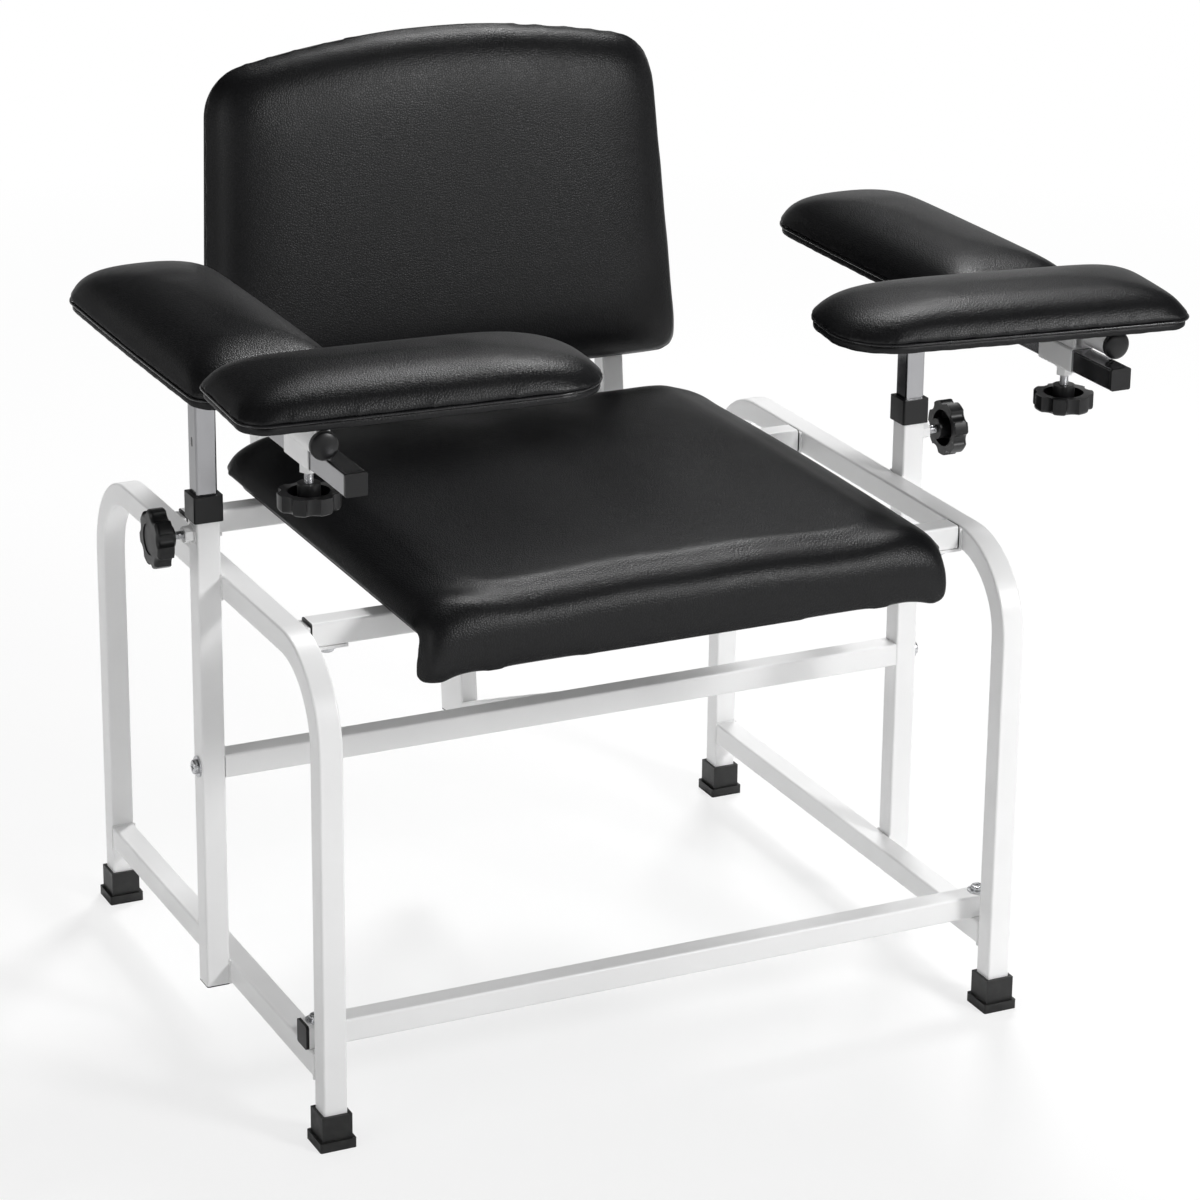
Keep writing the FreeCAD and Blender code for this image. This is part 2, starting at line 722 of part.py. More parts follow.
def seat_profile(x):
    """Side profile of the seat cushion at one distance from the middle."""
    half = float(s.seat_half_width)
    share = x / half
    shoulder = float(s.seat_shoulder)
    edge_drop = float(s.seat_top - s.seat_side_top)
    side_roll = float(s.seat_side_roll)
    drop = edge_drop * corner_set_in(x, half, side_roll) / side_roll
    crown = float(s.seat_crown)
    top = float(s.seat_top) - crown * share ** 2 - drop
    low = float(s.seat_bar_top + s.seat_board)
    set_in_rear = corner_set_in(x, half, float(s.seat_rear_round)) * REAR_CORNER_SHARE
    set_in_front = corner_set_in(x, half, float(s.seat_front_round))
    back = float(s.seat_back_edge) - set_in_rear
    front = -float(seat_front) + set_in_front
    lean = float(s.seat_lip_lean)
    bulge = float(s.seat_bulge)
    lip_low = float(s.seat_lip_low) + set_in_front * LIP_CORNER_SHARE
    lip_back = -float(seat_front - s.seat_lip_lean - s.seat_lip_wall)
    face_top = lip_low + (top - shoulder - lip_low) * FACE_SHARE
    rise = top - face_top
    round_share = 1 - math.cos(math.pi / 4)
    back_round = min(shoulder, (top - low) * FACE_SHARE)
    points = [
        Vector(x, back - bulge, low),
        Vector(x, lip_back, low),
        Vector(x, lip_back, lip_low),
        Vector(x, front + lean, lip_low),
        Vector(x, front, face_top),
        Vector(x, front + shoulder, top - crown / 2),
        Vector(x, back - shoulder, top - crown / 2),
        Vector(x, back, top - back_round),
    ]
    lower_face = Vector(x, front + lean * FRONT_BOW_SHARE, (lip_low + face_top) / 2)
    front_shoulder = Vector(x, front + shoulder * round_share, top - rise * round_share)
    middle = Vector(x, (front + back) / 2, top)
    rear_shoulder = Vector(x, back - shoulder * round_share, top - back_round * round_share)
    rear_face = Vector(x, back - bulge * REAR_BOW_SHARE, (low + top - back_round) / 2)
    edges = [
        Part.LineSegment(points[0], points[1]).toShape(),
        Part.LineSegment(points[1], points[2]).toShape(),
        Part.LineSegment(points[2], points[3]).toShape(),
        Part.Arc(points[3], lower_face, points[4]).toShape(),
        Part.Arc(points[4], front_shoulder, points[5]).toShape(),
        Part.Arc(points[5], middle, points[6]).toShape(),
        Part.Arc(points[6], rear_shoulder, points[7]).toShape(),
        Part.Arc(points[7], rear_face, points[0]).toShape(),
    ]
    return Part.Wire(edges)


# Rise and set-in of a cushion's rings, as shares of its thickness, from its board to its crown.
RISE_SHARES = (0, 0.12, 0.27, 0.42, 0.56, 0.69, 0.8, 0.89, 0.96, 1)
PAD_SET_IN_SHARES = (0.02, 0, 0.025, 0.085, 0.165, 0.27, 0.395, 0.54, 0.715, 0.88)
BACK_SET_IN_SHARES = (0.09, 0.02, 0.02, 0.08, 0.18, 0.31, 0.47, 0.66, 0.88, 1.2)


def crowned(outline, thickness, reach, set_in_shares):
    """Cushion with a crown, from an outline that draws in by shares of a reach as it rises."""
    rings = []
    for rise, set_in in zip(RISE_SHARES, set_in_shares):
        ring = outline(set_in * reach)
        ring.translate(Vector(0, 0, rise * thickness))
        rings.append(ring)
    return Part.makeLoft(rings, True, False)


def slab(outline, set_in, thickness):
    """Flat board of an outline."""
    return Part.Face(outline(set_in)).extrude(Vector(0, 0, thickness))


def arc_between(centre, radius, start, end):
    """Arc about a centre, anticlockwise between two angles in radians."""
    points = []
    for angle in (start, (start + end) / 2, end):
        points.append(centre + Vector(math.cos(angle), math.sin(angle)) * radius)
    return Part.Arc(*points).toShape(), points[0], points[2]


def pad_outline(long, round_slope, square_slope):
    """Arm pad in plan: rounder corners at +X, squarer ones at -X and slightly bowed sides.

    While the sides draw in by a length, each end draws in by its slope times that length.
    """
    full_half_wide = float(s.pad_width) / 2

    def outline(set_in):
        half_wide = full_half_wide - set_in
        shrink = half_wide / full_half_wide
        round_tip = float(long) / 2 - set_in * round_slope
        square_tip = set_in * square_slope - float(long) / 2
        half_long = (round_tip - square_tip) / 2
        middle = (round_tip + square_tip) / 2
        side_radius = half_long ** 2 / (2 * float(s.pad_bow) * shrink)
        side_centre_y = side_radius - half_wide
        round_corner = float(s.pad_round_corner) * shrink
        square_corner = float(s.pad_square_corner) * shrink
        round_x, round_y = corner_spot(half_long, side_radius, side_centre_y, round_corner)
        square_x, square_y = corner_spot(half_long, side_radius, side_centre_y, square_corner)
        # angles at which the low side arc, centred above, meets the corners
        round_angle = math.atan2(-round_y - side_centre_y, round_x)
        square_angle = math.atan2(-square_y - side_centre_y, -square_x)
        low_centre = Vector(0, side_centre_y)
        low_side, _, _ = arc_between(low_centre, side_radius, square_angle, round_angle)
        high_side, _, _ = arc_between(-low_centre, side_radius, -round_angle, -square_angle)
        low_round, _, right_low = arc_between(
            Vector(round_x, -round_y), round_corner, round_angle, 0)
        high_round, right_high, _ = arc_between(
            Vector(round_x, round_y), round_corner, 0, -round_angle)
        high_square, _, left_high = arc_between(
            Vector(-square_x, square_y), square_corner, -square_angle, math.pi)
        low_square, left_low, _ = arc_between(
            Vector(-square_x, -square_y), square_corner, math.pi, 2 * math.pi + square_angle)
        round_line = Part.LineSegment(right_low, right_high).toShape()
        square_line = Part.LineSegment(left_high, left_low).toShape()
        wire = Part.Wire([low_side, low_round, round_line, high_round, high_side, high_square,
                          square_line, low_square])
        wire.translate(Vector(middle, 0, 0))
        return wire

    return outline


def corner_spot(half_long, side_radius, side_centre_y, corner):
    """Centre of a corner that is tangent to a pad's end and to its bowed side."""
    across = half_long - corner
    up = math.sqrt((side_radius - corner) ** 2 - across ** 2) - side_centre_y
    return across, up


def back_outline():
    """Backrest in its own plane: flat low edge, tapering sides, arched top, round corners."""

    def outline(set_in):
        tall = float(s.back_tall)
        low_half = float(s.back_half_low) - set_in
        high_half = float(s.back_half_high) - set_in
        low = set_in
        high = tall - set_in
        arch = float(s.back_arch)
        shrink = high_half / float(s.back_half_high)
        high_round = float(s.back_round_high) * shrink
        low_round = float(s.back_round_low) * shrink
        # the side leans in by this angle from the vertical
        lean = math.atan2(low_half - high_half, high - low)
        # low corner: tangent to the low edge and to the side
        reach = low_round * math.tan((math.pi / 2 - lean) / 2)
        low_centre = Vector(low_half - reach, low + low_round)
        low_corner, low_first, low_last = arc_between(
            low_centre, low_round, -math.pi / 2, lean)
        # top arch through the top middle, and corner arcs tangent to it and to the side
        arch_half = high_half - high_round / 2
        arch_radius = (arch_half ** 2 + arch ** 2) / (2 * arch)
        arch_centre_y = high - arch_radius
        normal = Vector(math.cos(lean), math.sin(lean))
        side_point = low_last
        # the corner's centre lies on a line beside the side, inside by its radius
        start = side_point - normal * high_round
        along = Vector(-math.sin(lean), math.cos(lean))
        offset = start - Vector(0, arch_centre_y)
        reach_to = arch_radius - high_round
        half_b = offset.dot(along)
        distance = -half_b + math.sqrt(half_b ** 2 - offset.dot(offset) + reach_to ** 2)
        high_centre = start + along * distance
        meet = math.atan2(high_centre.y - arch_centre_y, high_centre.x)
        high_corner, high_first, high_last = arc_between(high_centre, high_round, lean, meet)
        top, _, _ = arc_between(Vector(0, arch_centre_y), arch_radius, meet, math.pi - meet)

        def mirrored(edge):
            return edge.mirror(Vector(), X_AXIS)

        side_line = Part.LineSegment(low_last, high_first).toShape()
        bottom = Part.LineSegment(Vector(-low_first.x, low_first.y), low_first).toShape()
        edges = [bottom, low_corner, side_line, high_corner, top,
                 mirrored(high_corner), mirrored(side_line), mirrored(low_corner)]
        return Part.Wire(Part.__sortEdges__(edges))

    return outline


def place_shape(thing, base, turn):
    """Put a finished shape at a base, turned."""
    thing.Placement = Placement(base, turn)


# Backrest: local Z runs up the lean and local Y to the back, from the low edge of its rear plane.
lean_angle = float(s.back_lean)
LEAN = Rotation(X_AXIS, -lean_angle)
lean_sin = math.sin(math.radians(lean_angle))
lean_cos = math.cos(math.radians(lean_angle))
LEAN_TAN = Size(lean_sin / lean_cos, "tan(Sizes.back_lean * 1 deg)")
LEAN_SIN = Size(lean_sin, "sin(Sizes.back_lean * 1 deg)")
LEAN_COS = Size(lean_cos, "cos(Sizes.back_lean * 1 deg)")


def on_back(x, back, up):
    """A point given from the low edge of the backrest's rear plane: across, back and up."""
    base_y = s.back_plane + LEAN_TAN * s.back_low
    y = base_y + LEAN_SIN * up + LEAN_COS * back
    z = s.back_low + LEAN_COS * up - LEAN_SIN * back
    return x, y, z


def build_back():
    face = Rotation(X_AXIS, 90 - lean_angle)
    outline = back_outline()
    board = doc.addObject("Part::Feature", "back_board")
    board.Shape = slab(outline, float(s.back_board_inset), float(s.back_board))
    cushion = doc.addObject("Part::Feature", "back_cushion")
    thick = float(s.back_padding)
    cushion.Shape = crowned(outline, thick, thick, BACK_SET_IN_SHARES)
    place_shape(board, Vector(*[float(v) for v in on_back(ZERO, ZERO, ZERO)]), face)
    place_shape(cushion, Vector(*[float(v) for v in on_back(ZERO, -s.back_board, ZERO)]), face)
    node("back_board", board)
    node("back_cushion", cushion)


def build_back_tubes():
    bolts = []
    for name, side in SIDES:
        label = name + "_back_tube"
        body = doc.addObject("Part::Feature", label)
        body.Shape = back_tube_shape()
        place_shape(body, Vector(float(s.back_tube_spread) * side, 0, 0), ALONG_Z)
        node(label, body)
        for spot, up in back_bolts:
            x, y, z = on_back(s.back_tube_spread * side, s.tube, up)
            bolts.append(pan_bolt(
                "%s_%s_back_bolt" % (spot, name), s.bolt_reach, x, y, z, LEAN.multiply(ALONG_Y)))
    group("back_bolts", bolts)
    # the cross tube lies between the two back tubes
    half = s.back_tube_spread - half_tube
    up = (s.cross_tube_top - s.back_low) / LEAN_COS - half_tube
    x, y, z = on_back(-half, half_tube, up)
    tube = tube_body("back_cross_tube", s.tube, s.tube, half * 2, s.tube_corner, s.tube_wall)
    place(tube, x, y, z, LEAN.multiply(ALONG_X))
    node("back_cross_tube", tube)


back_bolts = (("low", s.back_bolt_low), ("high", s.back_bolt_high))


def back_tube_shape():
    """Square tube that runs back under the seat bars and bends up behind the backrest."""
    low_z = float(seat_bar_low - half_tube)
    front = float(front_seat_bar_y - half_tube - s.back_tube_end)
    base = [float(v) for v in on_back(ZERO, half_tube, ZERO)]
    tan = lean_sin / lean_cos
    corner = Vector(0, base[1] + (low_z - base[2]) * tan, low_z)
    up = Vector(0, lean_sin, lean_cos)
    turn = math.radians(90 - lean_angle)
    bend = float(s.back_tube_bend)
    reach = bend * math.tan(turn / 2)
    first = corner - Y_AXIS * reach
    last = corner + up * reach
    top = Vector(0, base[1], base[2]) + up * float(s.back_tube_top)
    inward = (up - Y_AXIS).normalize()
    middle = corner + inward * (bend / math.cos(turn / 2) - bend)
    start = Vector(0, front, low_z)
    path = Part.Wire([
        Part.LineSegment(start, first).toShape(),
        Part.Arc(first, middle, last).toShape(),
        Part.LineSegment(last, top).toShape(),
    ])
    outer = swept_square(path, start, float(s.tube), float(s.tube_corner))
    inner = swept_square(path, start, float(bore), float(s.tube_corner - s.tube_wall))
    tube = outer.cut(inner)
    radius = float(s.bolt + s.bolt_fit)
    for _, y in seat_bars:
        base = Vector(0, float(y), float(back_tube_low))
        tube = tube.cut(Part.makeCylinder(radius, float(s.tube), base, Z_AXIS))
    for _, up_lean in back_bolts:
        _, y, z = on_back(ZERO, s.tube - s.tube_wall * 2, up_lean)
        base = Vector(0, float(y), float(z))
        tube = tube.cut(Part.makeCylinder(radius, float(s.tube_wall) * 3, base, LEAN.multVec(Y_AXIS)))
    return tube


def swept_square(path, start, wide, corner):
    """Round-cornered square swept along a path that starts along Y."""
    half = wide / 2
    plate = Part.makePlane(wide, wide, Vector(-half, -half, 0))
    solid = plate.extrude(Z_AXIS)
    uprights = [e for e in solid.Edges if abs(e.tangentAt(e.FirstParameter).z) > 0.9]
    section = solid.makeFillet(corner, uprights)
    low_face = min(section.Faces, key=lambda f: f.CenterOfMass.z)
    wire = low_face.OuterWire
    wire.Placement = Placement(start, Rotation(Z_AXIS, Y_AXIS)).multiply(wire.Placement)
    return path.makePipeShell([wire], True, False)


def stay_place(up):
    """Middle of the stay's section at one height up the lean: its back is flush with the tubes'."""
    return on_back(ZERO, s.tube - s.stay_depth / 2, up)


def stay_ends():
    """Heights of the stay's two ends up the lean. Its top lies under the cross tube."""
    return (s.stay_low - s.back_low) / LEAN_COS, (s.cross_tube_top - s.back_low) / LEAN_COS - s.tube


def stay_plug():
    x, y, z = stay_place(stay_ends()[0])
    return plug("stay_plug", s.plug_rim, x, y, z, LEAN.multiply(DOWN), s.stay_width, s.stay_depth)


def build_stay():
    """Flat tube that hangs from the cross tube, and the brace from its foot to the mid crossbar."""
    low, high = stay_ends()
    x, y, z = stay_place(low)
    tube = tube_body("back_stay", s.stay_width, s.stay_depth, high - low, s.tube_corner, s.tube_wall)
    place(tube, x, y, z, LEAN)
    node("back_stay", tube)
    # the brace runs between the middle of the crossbar's back and the stay's front
    _, end_y, end_z = on_back(ZERO, s.tube - s.stay_depth, low + s.brace_side / 2)
    start_y = post_y + half_tube
    across, down = float(end_y - start_y), float(end_z - mid_bar_z)
    turn = Rotation(Z_AXIS, Vector(0, across, down))
    spare = s.brace_side * 2
    run = math.hypot(across, down)
    share = float(spare) / run
    brace = tube_body("brace_tube", s.brace_side, s.brace_side,
                      Size(run, repr(run)) + spare * 2, s.tube_corner, s.tube_wall)
    place(brace, ZERO, start_y - Size(across * share, repr(across * share)),
          mid_bar_z - Size(down * share, repr(down * share)), turn)
    front = block("brace_front_trim", s.tube, s.stay_depth, s.stay_depth * 3,
                  ZERO, start_y - s.stay_depth / 2, mid_bar_z - s.stay_depth)
    x, y, z = stay_place(low - s.stay_depth)
    rear = block("brace_rear_trim", s.tube, s.stay_depth, s.stay_depth * 3, x, y, z)
    rear = tilted(rear, s.tube, s.stay_depth, x, y, z)
    node("stay_brace", cut("stay_brace", brace, [front, rear]))


def tilted(box, wide, deep, x, y, z):
    """Lean a block back about the middle of its low end."""
    corner = LEAN.multVec(Vector(-float(wide) / 2, -float(deep) / 2, 0))
    place(box, x + Size(corner.x, repr(corner.x)), y + Size(corner.y, repr(corner.y)),
          z + Size(corner.z, repr(corner.z)), LEAN)
    return box


def star_knob(label, x, y, z, turn):
    """Lobed knob: Z is zero at the outer face and its hub points along +Z."""
    body = doc.addObject("PartDesign::Body", label)
    disc = cylinder_feature(body, "Additive", s.knob, s.knob_body, ZERO, ZERO, ZERO)
    notch = cylinder_feature(
        body, "Subtractive", s.knob_notch, s.knob_body, s.knob_notch_out, ZERO, ZERO)
    doc.recompute()
    pattern = body.newObject("PartDesign::PolarPattern", "Notches")
    pattern.Originals = [notch]
    planes = {plane.Role: plane for plane in body.Origin.OriginFeatures}
    pattern.Axis = (planes["Z_Axis"], [""])
    pattern.Angle = 360
    bind(pattern, "Occurrences", s.knob_lobes)
    body.Tip = pattern
    doc.recompute()
    face_edges = [
        "Edge%d" % index
        for index, edge in enumerate(pattern.Shape.Edges, start=1)
        if edge.BoundBox.ZMax < 0.01
    ]
    round_edges(body, pattern, face_edges, s.knob_round)
    cylinder_feature(body, "Subtractive", s.knob_dish, s.knob_dish_deep, ZERO, ZERO, ZERO)
    floor = s.knob_body - s.knob_hollow_deep
    cylinder_feature(body, "Subtractive", s.knob_hollow, s.knob_hollow_deep, ZERO, ZERO, floor)
    tall = s.knob_hollow_deep + s.knob_hub_rise
    cylinder_feature(body, "Additive", s.knob_hub, tall, ZERO, ZERO, floor)
    place(body, x, y, z, turn)
    return node(label, body)


knob_tall = s.knob_body + s.knob_hub_rise


def build_height_knobs():
    """Screws that clamp the sliding arms in their posts."""
    for name, side in SIDES:
        inward = Rotation(Z_AXIS, X_AXIS * -side)
        tip = post_x + half_arm + s.stud_seat_gap
        hub_end = nut_face + s.nut_tall + s.stud_bare
        stud = rod(name + "_height_stud", s.stud, hub_end - tip, hub_end * side, post_y,
                   s.nut_height, inward)
        node(name + "_height_stud", stud)
        star_knob(name + "_height_knob", (hub_end + knob_tall) * side, post_y, s.nut_height, inward)


def build_arms():
    """Chrome tube that slides in each post, with the bar across its top and the rear pad."""
    for name, side in SIDES:
        x = post_x * side
        upright = tube_body(name + "_arm_tube", arm_side, arm_side, s.bar_low - s.arm_tube_low,
                            s.arm_corner, s.tube_wall)
        place(upright, x, post_y, s.arm_tube_low)
        node(name + "_arm_tube", upright)
        bar = tube_body(name + "_arm_bar", arm_side, arm_side, s.bar_front + s.bar_back,
                        s.arm_corner, s.tube_wall)
        place(bar, x, -s.bar_front, bar_mid_z, ALONG_Y)
        node(name + "_arm_bar", bar)
        caps = [
            plug(name + "_bar_front_cap", s.bar_cap, x, -s.bar_front, bar_mid_z,
                 BACK, arm_side, arm_side, s.arm_corner),
            plug(name + "_bar_rear_cap", s.bar_cap, x, s.bar_back, bar_mid_z,
                 ALONG_Y, arm_side, arm_side, s.arm_corner),
        ]
        group(name + "_bar_caps", caps)


def pad(label, long, padding, turn, spot, low):
    """Padded arm rest on its board, turned, with its middle at a spot."""
    board_thick = float(s.pad_board)
    half_wide = float(s.pad_width) / 2
    round_slope = float(s.pad_round_slope) / half_wide
    square_slope = float(s.pad_square_slope) / half_wide
    board = doc.addObject("Part::Feature", label + "_board")
    board.Shape = slab(pad_outline(long, 1, 1), float(s.pad_board_inset), board_thick)
    cushion = doc.addObject("Part::Feature", label)
    cushion.Shape = crowned(pad_outline(long, round_slope, square_slope), float(padding),
                            half_wide, PAD_SET_IN_SHARES)
    place_shape(board, Vector(spot.x, spot.y, low), turn)
    place_shape(cushion, Vector(spot.x, spot.y, low + board_thick), turn)
    node(label + "_board", board)
    node(label, cushion)


def build_pads():
    outs = {"left": s.left_front_pad_out, "right": s.right_front_pad_out}
    aheads = {"left": s.left_front_pad_ahead, "right": s.right_front_pad_ahead}
    turns = {"left": s.left_front_pad_turn, "right": s.right_front_pad_turn}
    backs = {"left": s.left_rear_pad_back, "right": s.right_rear_pad_back}
    for name, side in SIDES:
        # the round end of the front pad points to the middle of the chair
        facing = Rotation(Z_AXIS, 180 if side == RIGHT else 0)
        skew = Rotation(Z_AXIS, -float(turns[name]))
        anchor = Vector(float(post_x) * side, -float(carrier(name)), 0)
        inward = float(s.front_pad_long) / 2 - float(outs[name])
        offset = skew.multVec(Vector(-side * inward, -float(aheads[name]), 0))
        pad(name + "_front_pad", s.front_pad_long, s.front_pad_padding, skew.multiply(facing),
            anchor + offset, float(front_pad_low))
        # the round end of the rear pad points back
        middle = float(backs[name]) - float(s.rear_pad_long) / 2
        spot = Vector(float(post_x) * side + float(s.rear_pad_aside), middle, 0)
        pad(name + "_rear_pad", s.rear_pad_long, s.rear_pad_padding, Rotation(Z_AXIS, 90),
            spot, float(rear_pad_low))


def carrier(name):
    """Distance of a front pad's carrier in front of the frame's middle."""
    return s.left_carrier if name == "left" else s.right_carrier


def build_carriers():
    """Sleeves that slide along the arm bars, their clamp screws and the tilting pad brackets."""
    for name, side in SIDES:
        x = post_x * side
        middle = -carrier(name)
        front = middle - s.sleeve_long / 2
        back = middle + s.sleeve_long / 2
        hinge_x = pivot_x * side
        # sleeve, pivot tube and nut are welded together
        tube = tube_body(name + "_sleeve_tube", sleeve_side, sleeve_side, s.sleeve_long,
                         s.tube_corner, s.tube_wall)
        place(tube, x, front, bar_mid_z, ALONG_Y)
        pivot = rod(name + "_pivot_tube", s.pivot, s.sleeve_long, hinge_x, front, pivot_z, ALONG_Y)
        web = block(name + "_pivot_web", s.pivot, s.sleeve_long, s.pivot,
                    (pivot_x - s.pivot / 2) * side, middle, sleeve_top - s.tube_wall / 2)
        nut = hex_prism(name + "_clamp_nut", s.nut_across, s.nut_tall + s.tube_wall / 2,
                        x, middle, sleeve_low + s.tube_wall / 2, DOWN)
        welded = joined(name + "_sleeve_welded", [tube, pivot, web, nut])
        pin_hole = rod(name + "_pin_hole", s.pivot_pin + s.pivot_fit, s.sleeve_long,
                       hinge_x, front, pivot_z, ALONG_Y)
        screw_hole = rod(name + "_clamp_hole", s.stud + s.plug_gap, s.nut_tall + half_tube,
                         x, middle, bar_mid_z, DOWN)
        node(name + "_slide_sleeve", cut(name + "_slide_sleeve", welded, [pin_hole, screw_hole]))
        tip = s.bar_low - s.stud_seat_gap
        hub_end = sleeve_low - s.nut_tall - s.stud_bare
        node(name + "_clamp_stud", rod(
            name + "_clamp_stud", s.stud, tip - hub_end, x, middle, hub_end))
        star_knob(name + "_clamp_knob", x, middle, hub_end - knob_tall, ALONG_Z)
        pad_bracket(name, side, x, hinge_x, middle, front, back)


def pad_bracket(name, side, x, hinge_x, middle, front, back):
    """Plate under the front pad, with a knuckle at each end of the pivot and a stop."""
    long = s.sleeve_long + s.knuckle_front + s.knuckle_back
    start = front - s.knuckle_front
    plate = block(name + "_pad_plate", s.plate_width, long, s.plate,
                  hinge_x, start + long / 2, plate_low)
    stop_low = sleeve_top + s.stop_gap
    stop_x = post_x - half_tube + s.tube_corner + s.plate / 2
    stop = block(name + "_pad_stop", s.plate, s.sleeve_long, plate_low - stop_low + s.plate / 2,
                 stop_x * side, middle, stop_low)
    members = [plate, stop]
    for spot, low_end, length in (
        ("front", start, s.knuckle_front - s.knuckle_gap),
        ("back", back + s.knuckle_gap, s.knuckle_back - s.knuckle_gap),
    ):
        members.append(rod("%s_%s_knuckle" % (name, spot), s.pivot, length,
                           hinge_x, low_end, pivot_z, ALONG_Y))
        members.append(block("%s_%s_web" % (name, spot), s.pivot, length, s.pivot + s.plate,
                             hinge_x, low_end + length / 2, pivot_z))
    welded = joined(name + "_bracket_welded", members)
    hole = rod(name + "_bracket_hole", s.pivot_pin, long, hinge_x, start, pivot_z, ALONG_Y)
    node(name + "_pad_bracket", cut(name + "_pad_bracket", welded, [hole]))
    pin = rod(name + "_pin", s.pivot_pin, long, hinge_x, start, pivot_z, ALONG_Y)
    front_cap = rod(name + "_pin_front_cap", s.pivot_cap, s.pivot_cap_long,
                    hinge_x, start - s.pivot_cap_long, pivot_z, ALONG_Y)
    back_cap = rod(name + "_pin_back_cap", s.pivot_cap, s.pivot_cap_long,
                   hinge_x, start + long, pivot_z, ALONG_Y)
    node(name + "_hinge_pin", joined(name + "_hinge_pin", [pin, front_cap, back_cap]))


build_side_frames()
build_feet()
build_bars()
build_brackets()
build_posts()
build_seat()
build_back()
build_back_tubes()
build_stay()
build_height_knobs()
build_arms()
build_carriers()
build_pads()
doc.recompute()

for thing in doc.Objects:
    if "Invalid" in thing.State or "Error" in thing.State:
        raise RuntimeError("%s did not compute: %s" % (thing.Label, thing.State))
for label, thing in nodes.items():
    shape = thing.Shape
    if shape.isNull() or not shape.isValid():
        raise RuntimeError("%s has no valid shape" % label)
    if shape.Volume <= 0 or not shape.Solids:
        raise RuntimeError("%s has no volume" % label)

os.makedirs("parts", exist_ok=True)
for label, thing in nodes.items():
    thing.Shape.exportStep(os.path.join("parts", label + ".step"))
print(len(nodes), "sub-parts")
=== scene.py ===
import json
import math

import bmesh
import bpy
import numpy as np
from mathutils import Matrix, Vector


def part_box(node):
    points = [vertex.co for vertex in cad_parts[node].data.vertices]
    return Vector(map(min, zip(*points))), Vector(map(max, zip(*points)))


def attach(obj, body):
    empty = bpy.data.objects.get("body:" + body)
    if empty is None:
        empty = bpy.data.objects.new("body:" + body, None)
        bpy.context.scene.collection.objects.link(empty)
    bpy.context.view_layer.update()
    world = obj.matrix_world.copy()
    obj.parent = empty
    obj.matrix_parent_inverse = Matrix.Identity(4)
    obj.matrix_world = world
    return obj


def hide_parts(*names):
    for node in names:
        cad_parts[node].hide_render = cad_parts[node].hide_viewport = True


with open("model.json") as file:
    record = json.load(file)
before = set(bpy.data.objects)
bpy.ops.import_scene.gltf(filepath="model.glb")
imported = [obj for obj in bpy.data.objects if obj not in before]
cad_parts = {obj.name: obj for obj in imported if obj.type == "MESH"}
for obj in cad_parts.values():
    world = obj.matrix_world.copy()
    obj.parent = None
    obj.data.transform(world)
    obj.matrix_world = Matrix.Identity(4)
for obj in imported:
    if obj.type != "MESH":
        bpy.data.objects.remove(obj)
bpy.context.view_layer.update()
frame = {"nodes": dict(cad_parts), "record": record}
scene = bpy.context.scene

SIDES = (("left", -1), ("right", 1))
# The frame's tube, and how far the backrest leans back in degrees.
HALF_TUBE = 0.0125
BACK_LEAN = 6.28
# Thickness of the boards under the arm pads and behind the backrest.
PAD_BOARD = 0.008
BACK_BOARD = 0.009

# Camera: where it stands, where it looks, and how long its lens is.
CAMERA_PLACE = (-1.6501, -3.5866, 1.8632)
CAMERA_AZIMUTH = -25.51
CAMERA_ELEVATION = 18.83
CAMERA_ROLL = 0.59
CAMERA_LENS = 119.43
CAMERA_SENSOR = 36
CAMERA_SHIFT = -0.0833


# Shaders
def new_material(name, **settings):
    """A material whose shader sockets are set by name, with _ for a space."""
    material = bpy.data.materials.new(name)
    material.use_nodes = True
    shader = material.node_tree.nodes["Principled BSDF"]
    for key, value in settings.items():
        shader.inputs[key.replace("_", " ")].default_value = value
    return material, material.node_tree, shader


def add(tree, kind, inputs=None, **settings):
    """A node whose inputs are numbers or other nodes' outputs."""
    node = tree.nodes.new(kind)
    for key, value in settings.items():
        setattr(node, key, value)
    for key, value in (inputs or {}).items():
        if isinstance(value, bpy.types.NodeSocket):
            tree.links.new(value, node.inputs[key])
        else:
            node.inputs[key].default_value = value
    return node


def object_place(tree):
    return add(tree, "ShaderNodeTexCoord").outputs["Object"]


def stretched_place(tree, stretch):
    """Object coordinates, each axis multiplied."""
    mapping = add(tree, "ShaderNodeMapping", {"Vector": object_place(tree), "Scale": stretch})
    return mapping.outputs["Vector"]


def noise(tree, place, scale, detail=2.0):
    node = add(tree, "ShaderNodeTexNoise", {"Vector": place, "Scale": scale, "Detail": detail})
    return node.outputs["Fac"]


def cells(tree, place, scale, feature="F1"):
    node = add(tree, "ShaderNodeTexVoronoi", {"Vector": place, "Scale": scale}, feature=feature)
    return node.outputs["Distance"]


def spread(tree, value, low, high, new_low, new_high):
    """A value's range from low to high, moved to another range."""
    node = add(tree, "ShaderNodeMapRange", {
        "Value": value, "From Min": low, "From Max": high, "To Min": new_low, "To Max": new_high,
    })
    return node.outputs["Result"]


def math_node(tree, operation, first, second):
    node = add(tree, "ShaderNodeMath", {0: first, 1: second}, operation=operation)
    return node.outputs["Value"]


def tone(tree, value, dark, light):
    """A colour between two, by a value from 0 to 1."""
    node = add(tree, "ShaderNodeMix", {"Factor": value}, data_type="RGBA")
    node.inputs["A"].default_value = (*dark, 1)
    node.inputs["B"].default_value = (*light, 1)
    return next(out for out in node.outputs if out.type == "RGBA")


def bumped(tree, shader, height, strength, depth):
    bump = add(tree, "ShaderNodeBump", {"Height": height, "Strength": strength, "Distance": depth})
    tree.links.new(bump.outputs["Normal"], shader.inputs["Normal"])


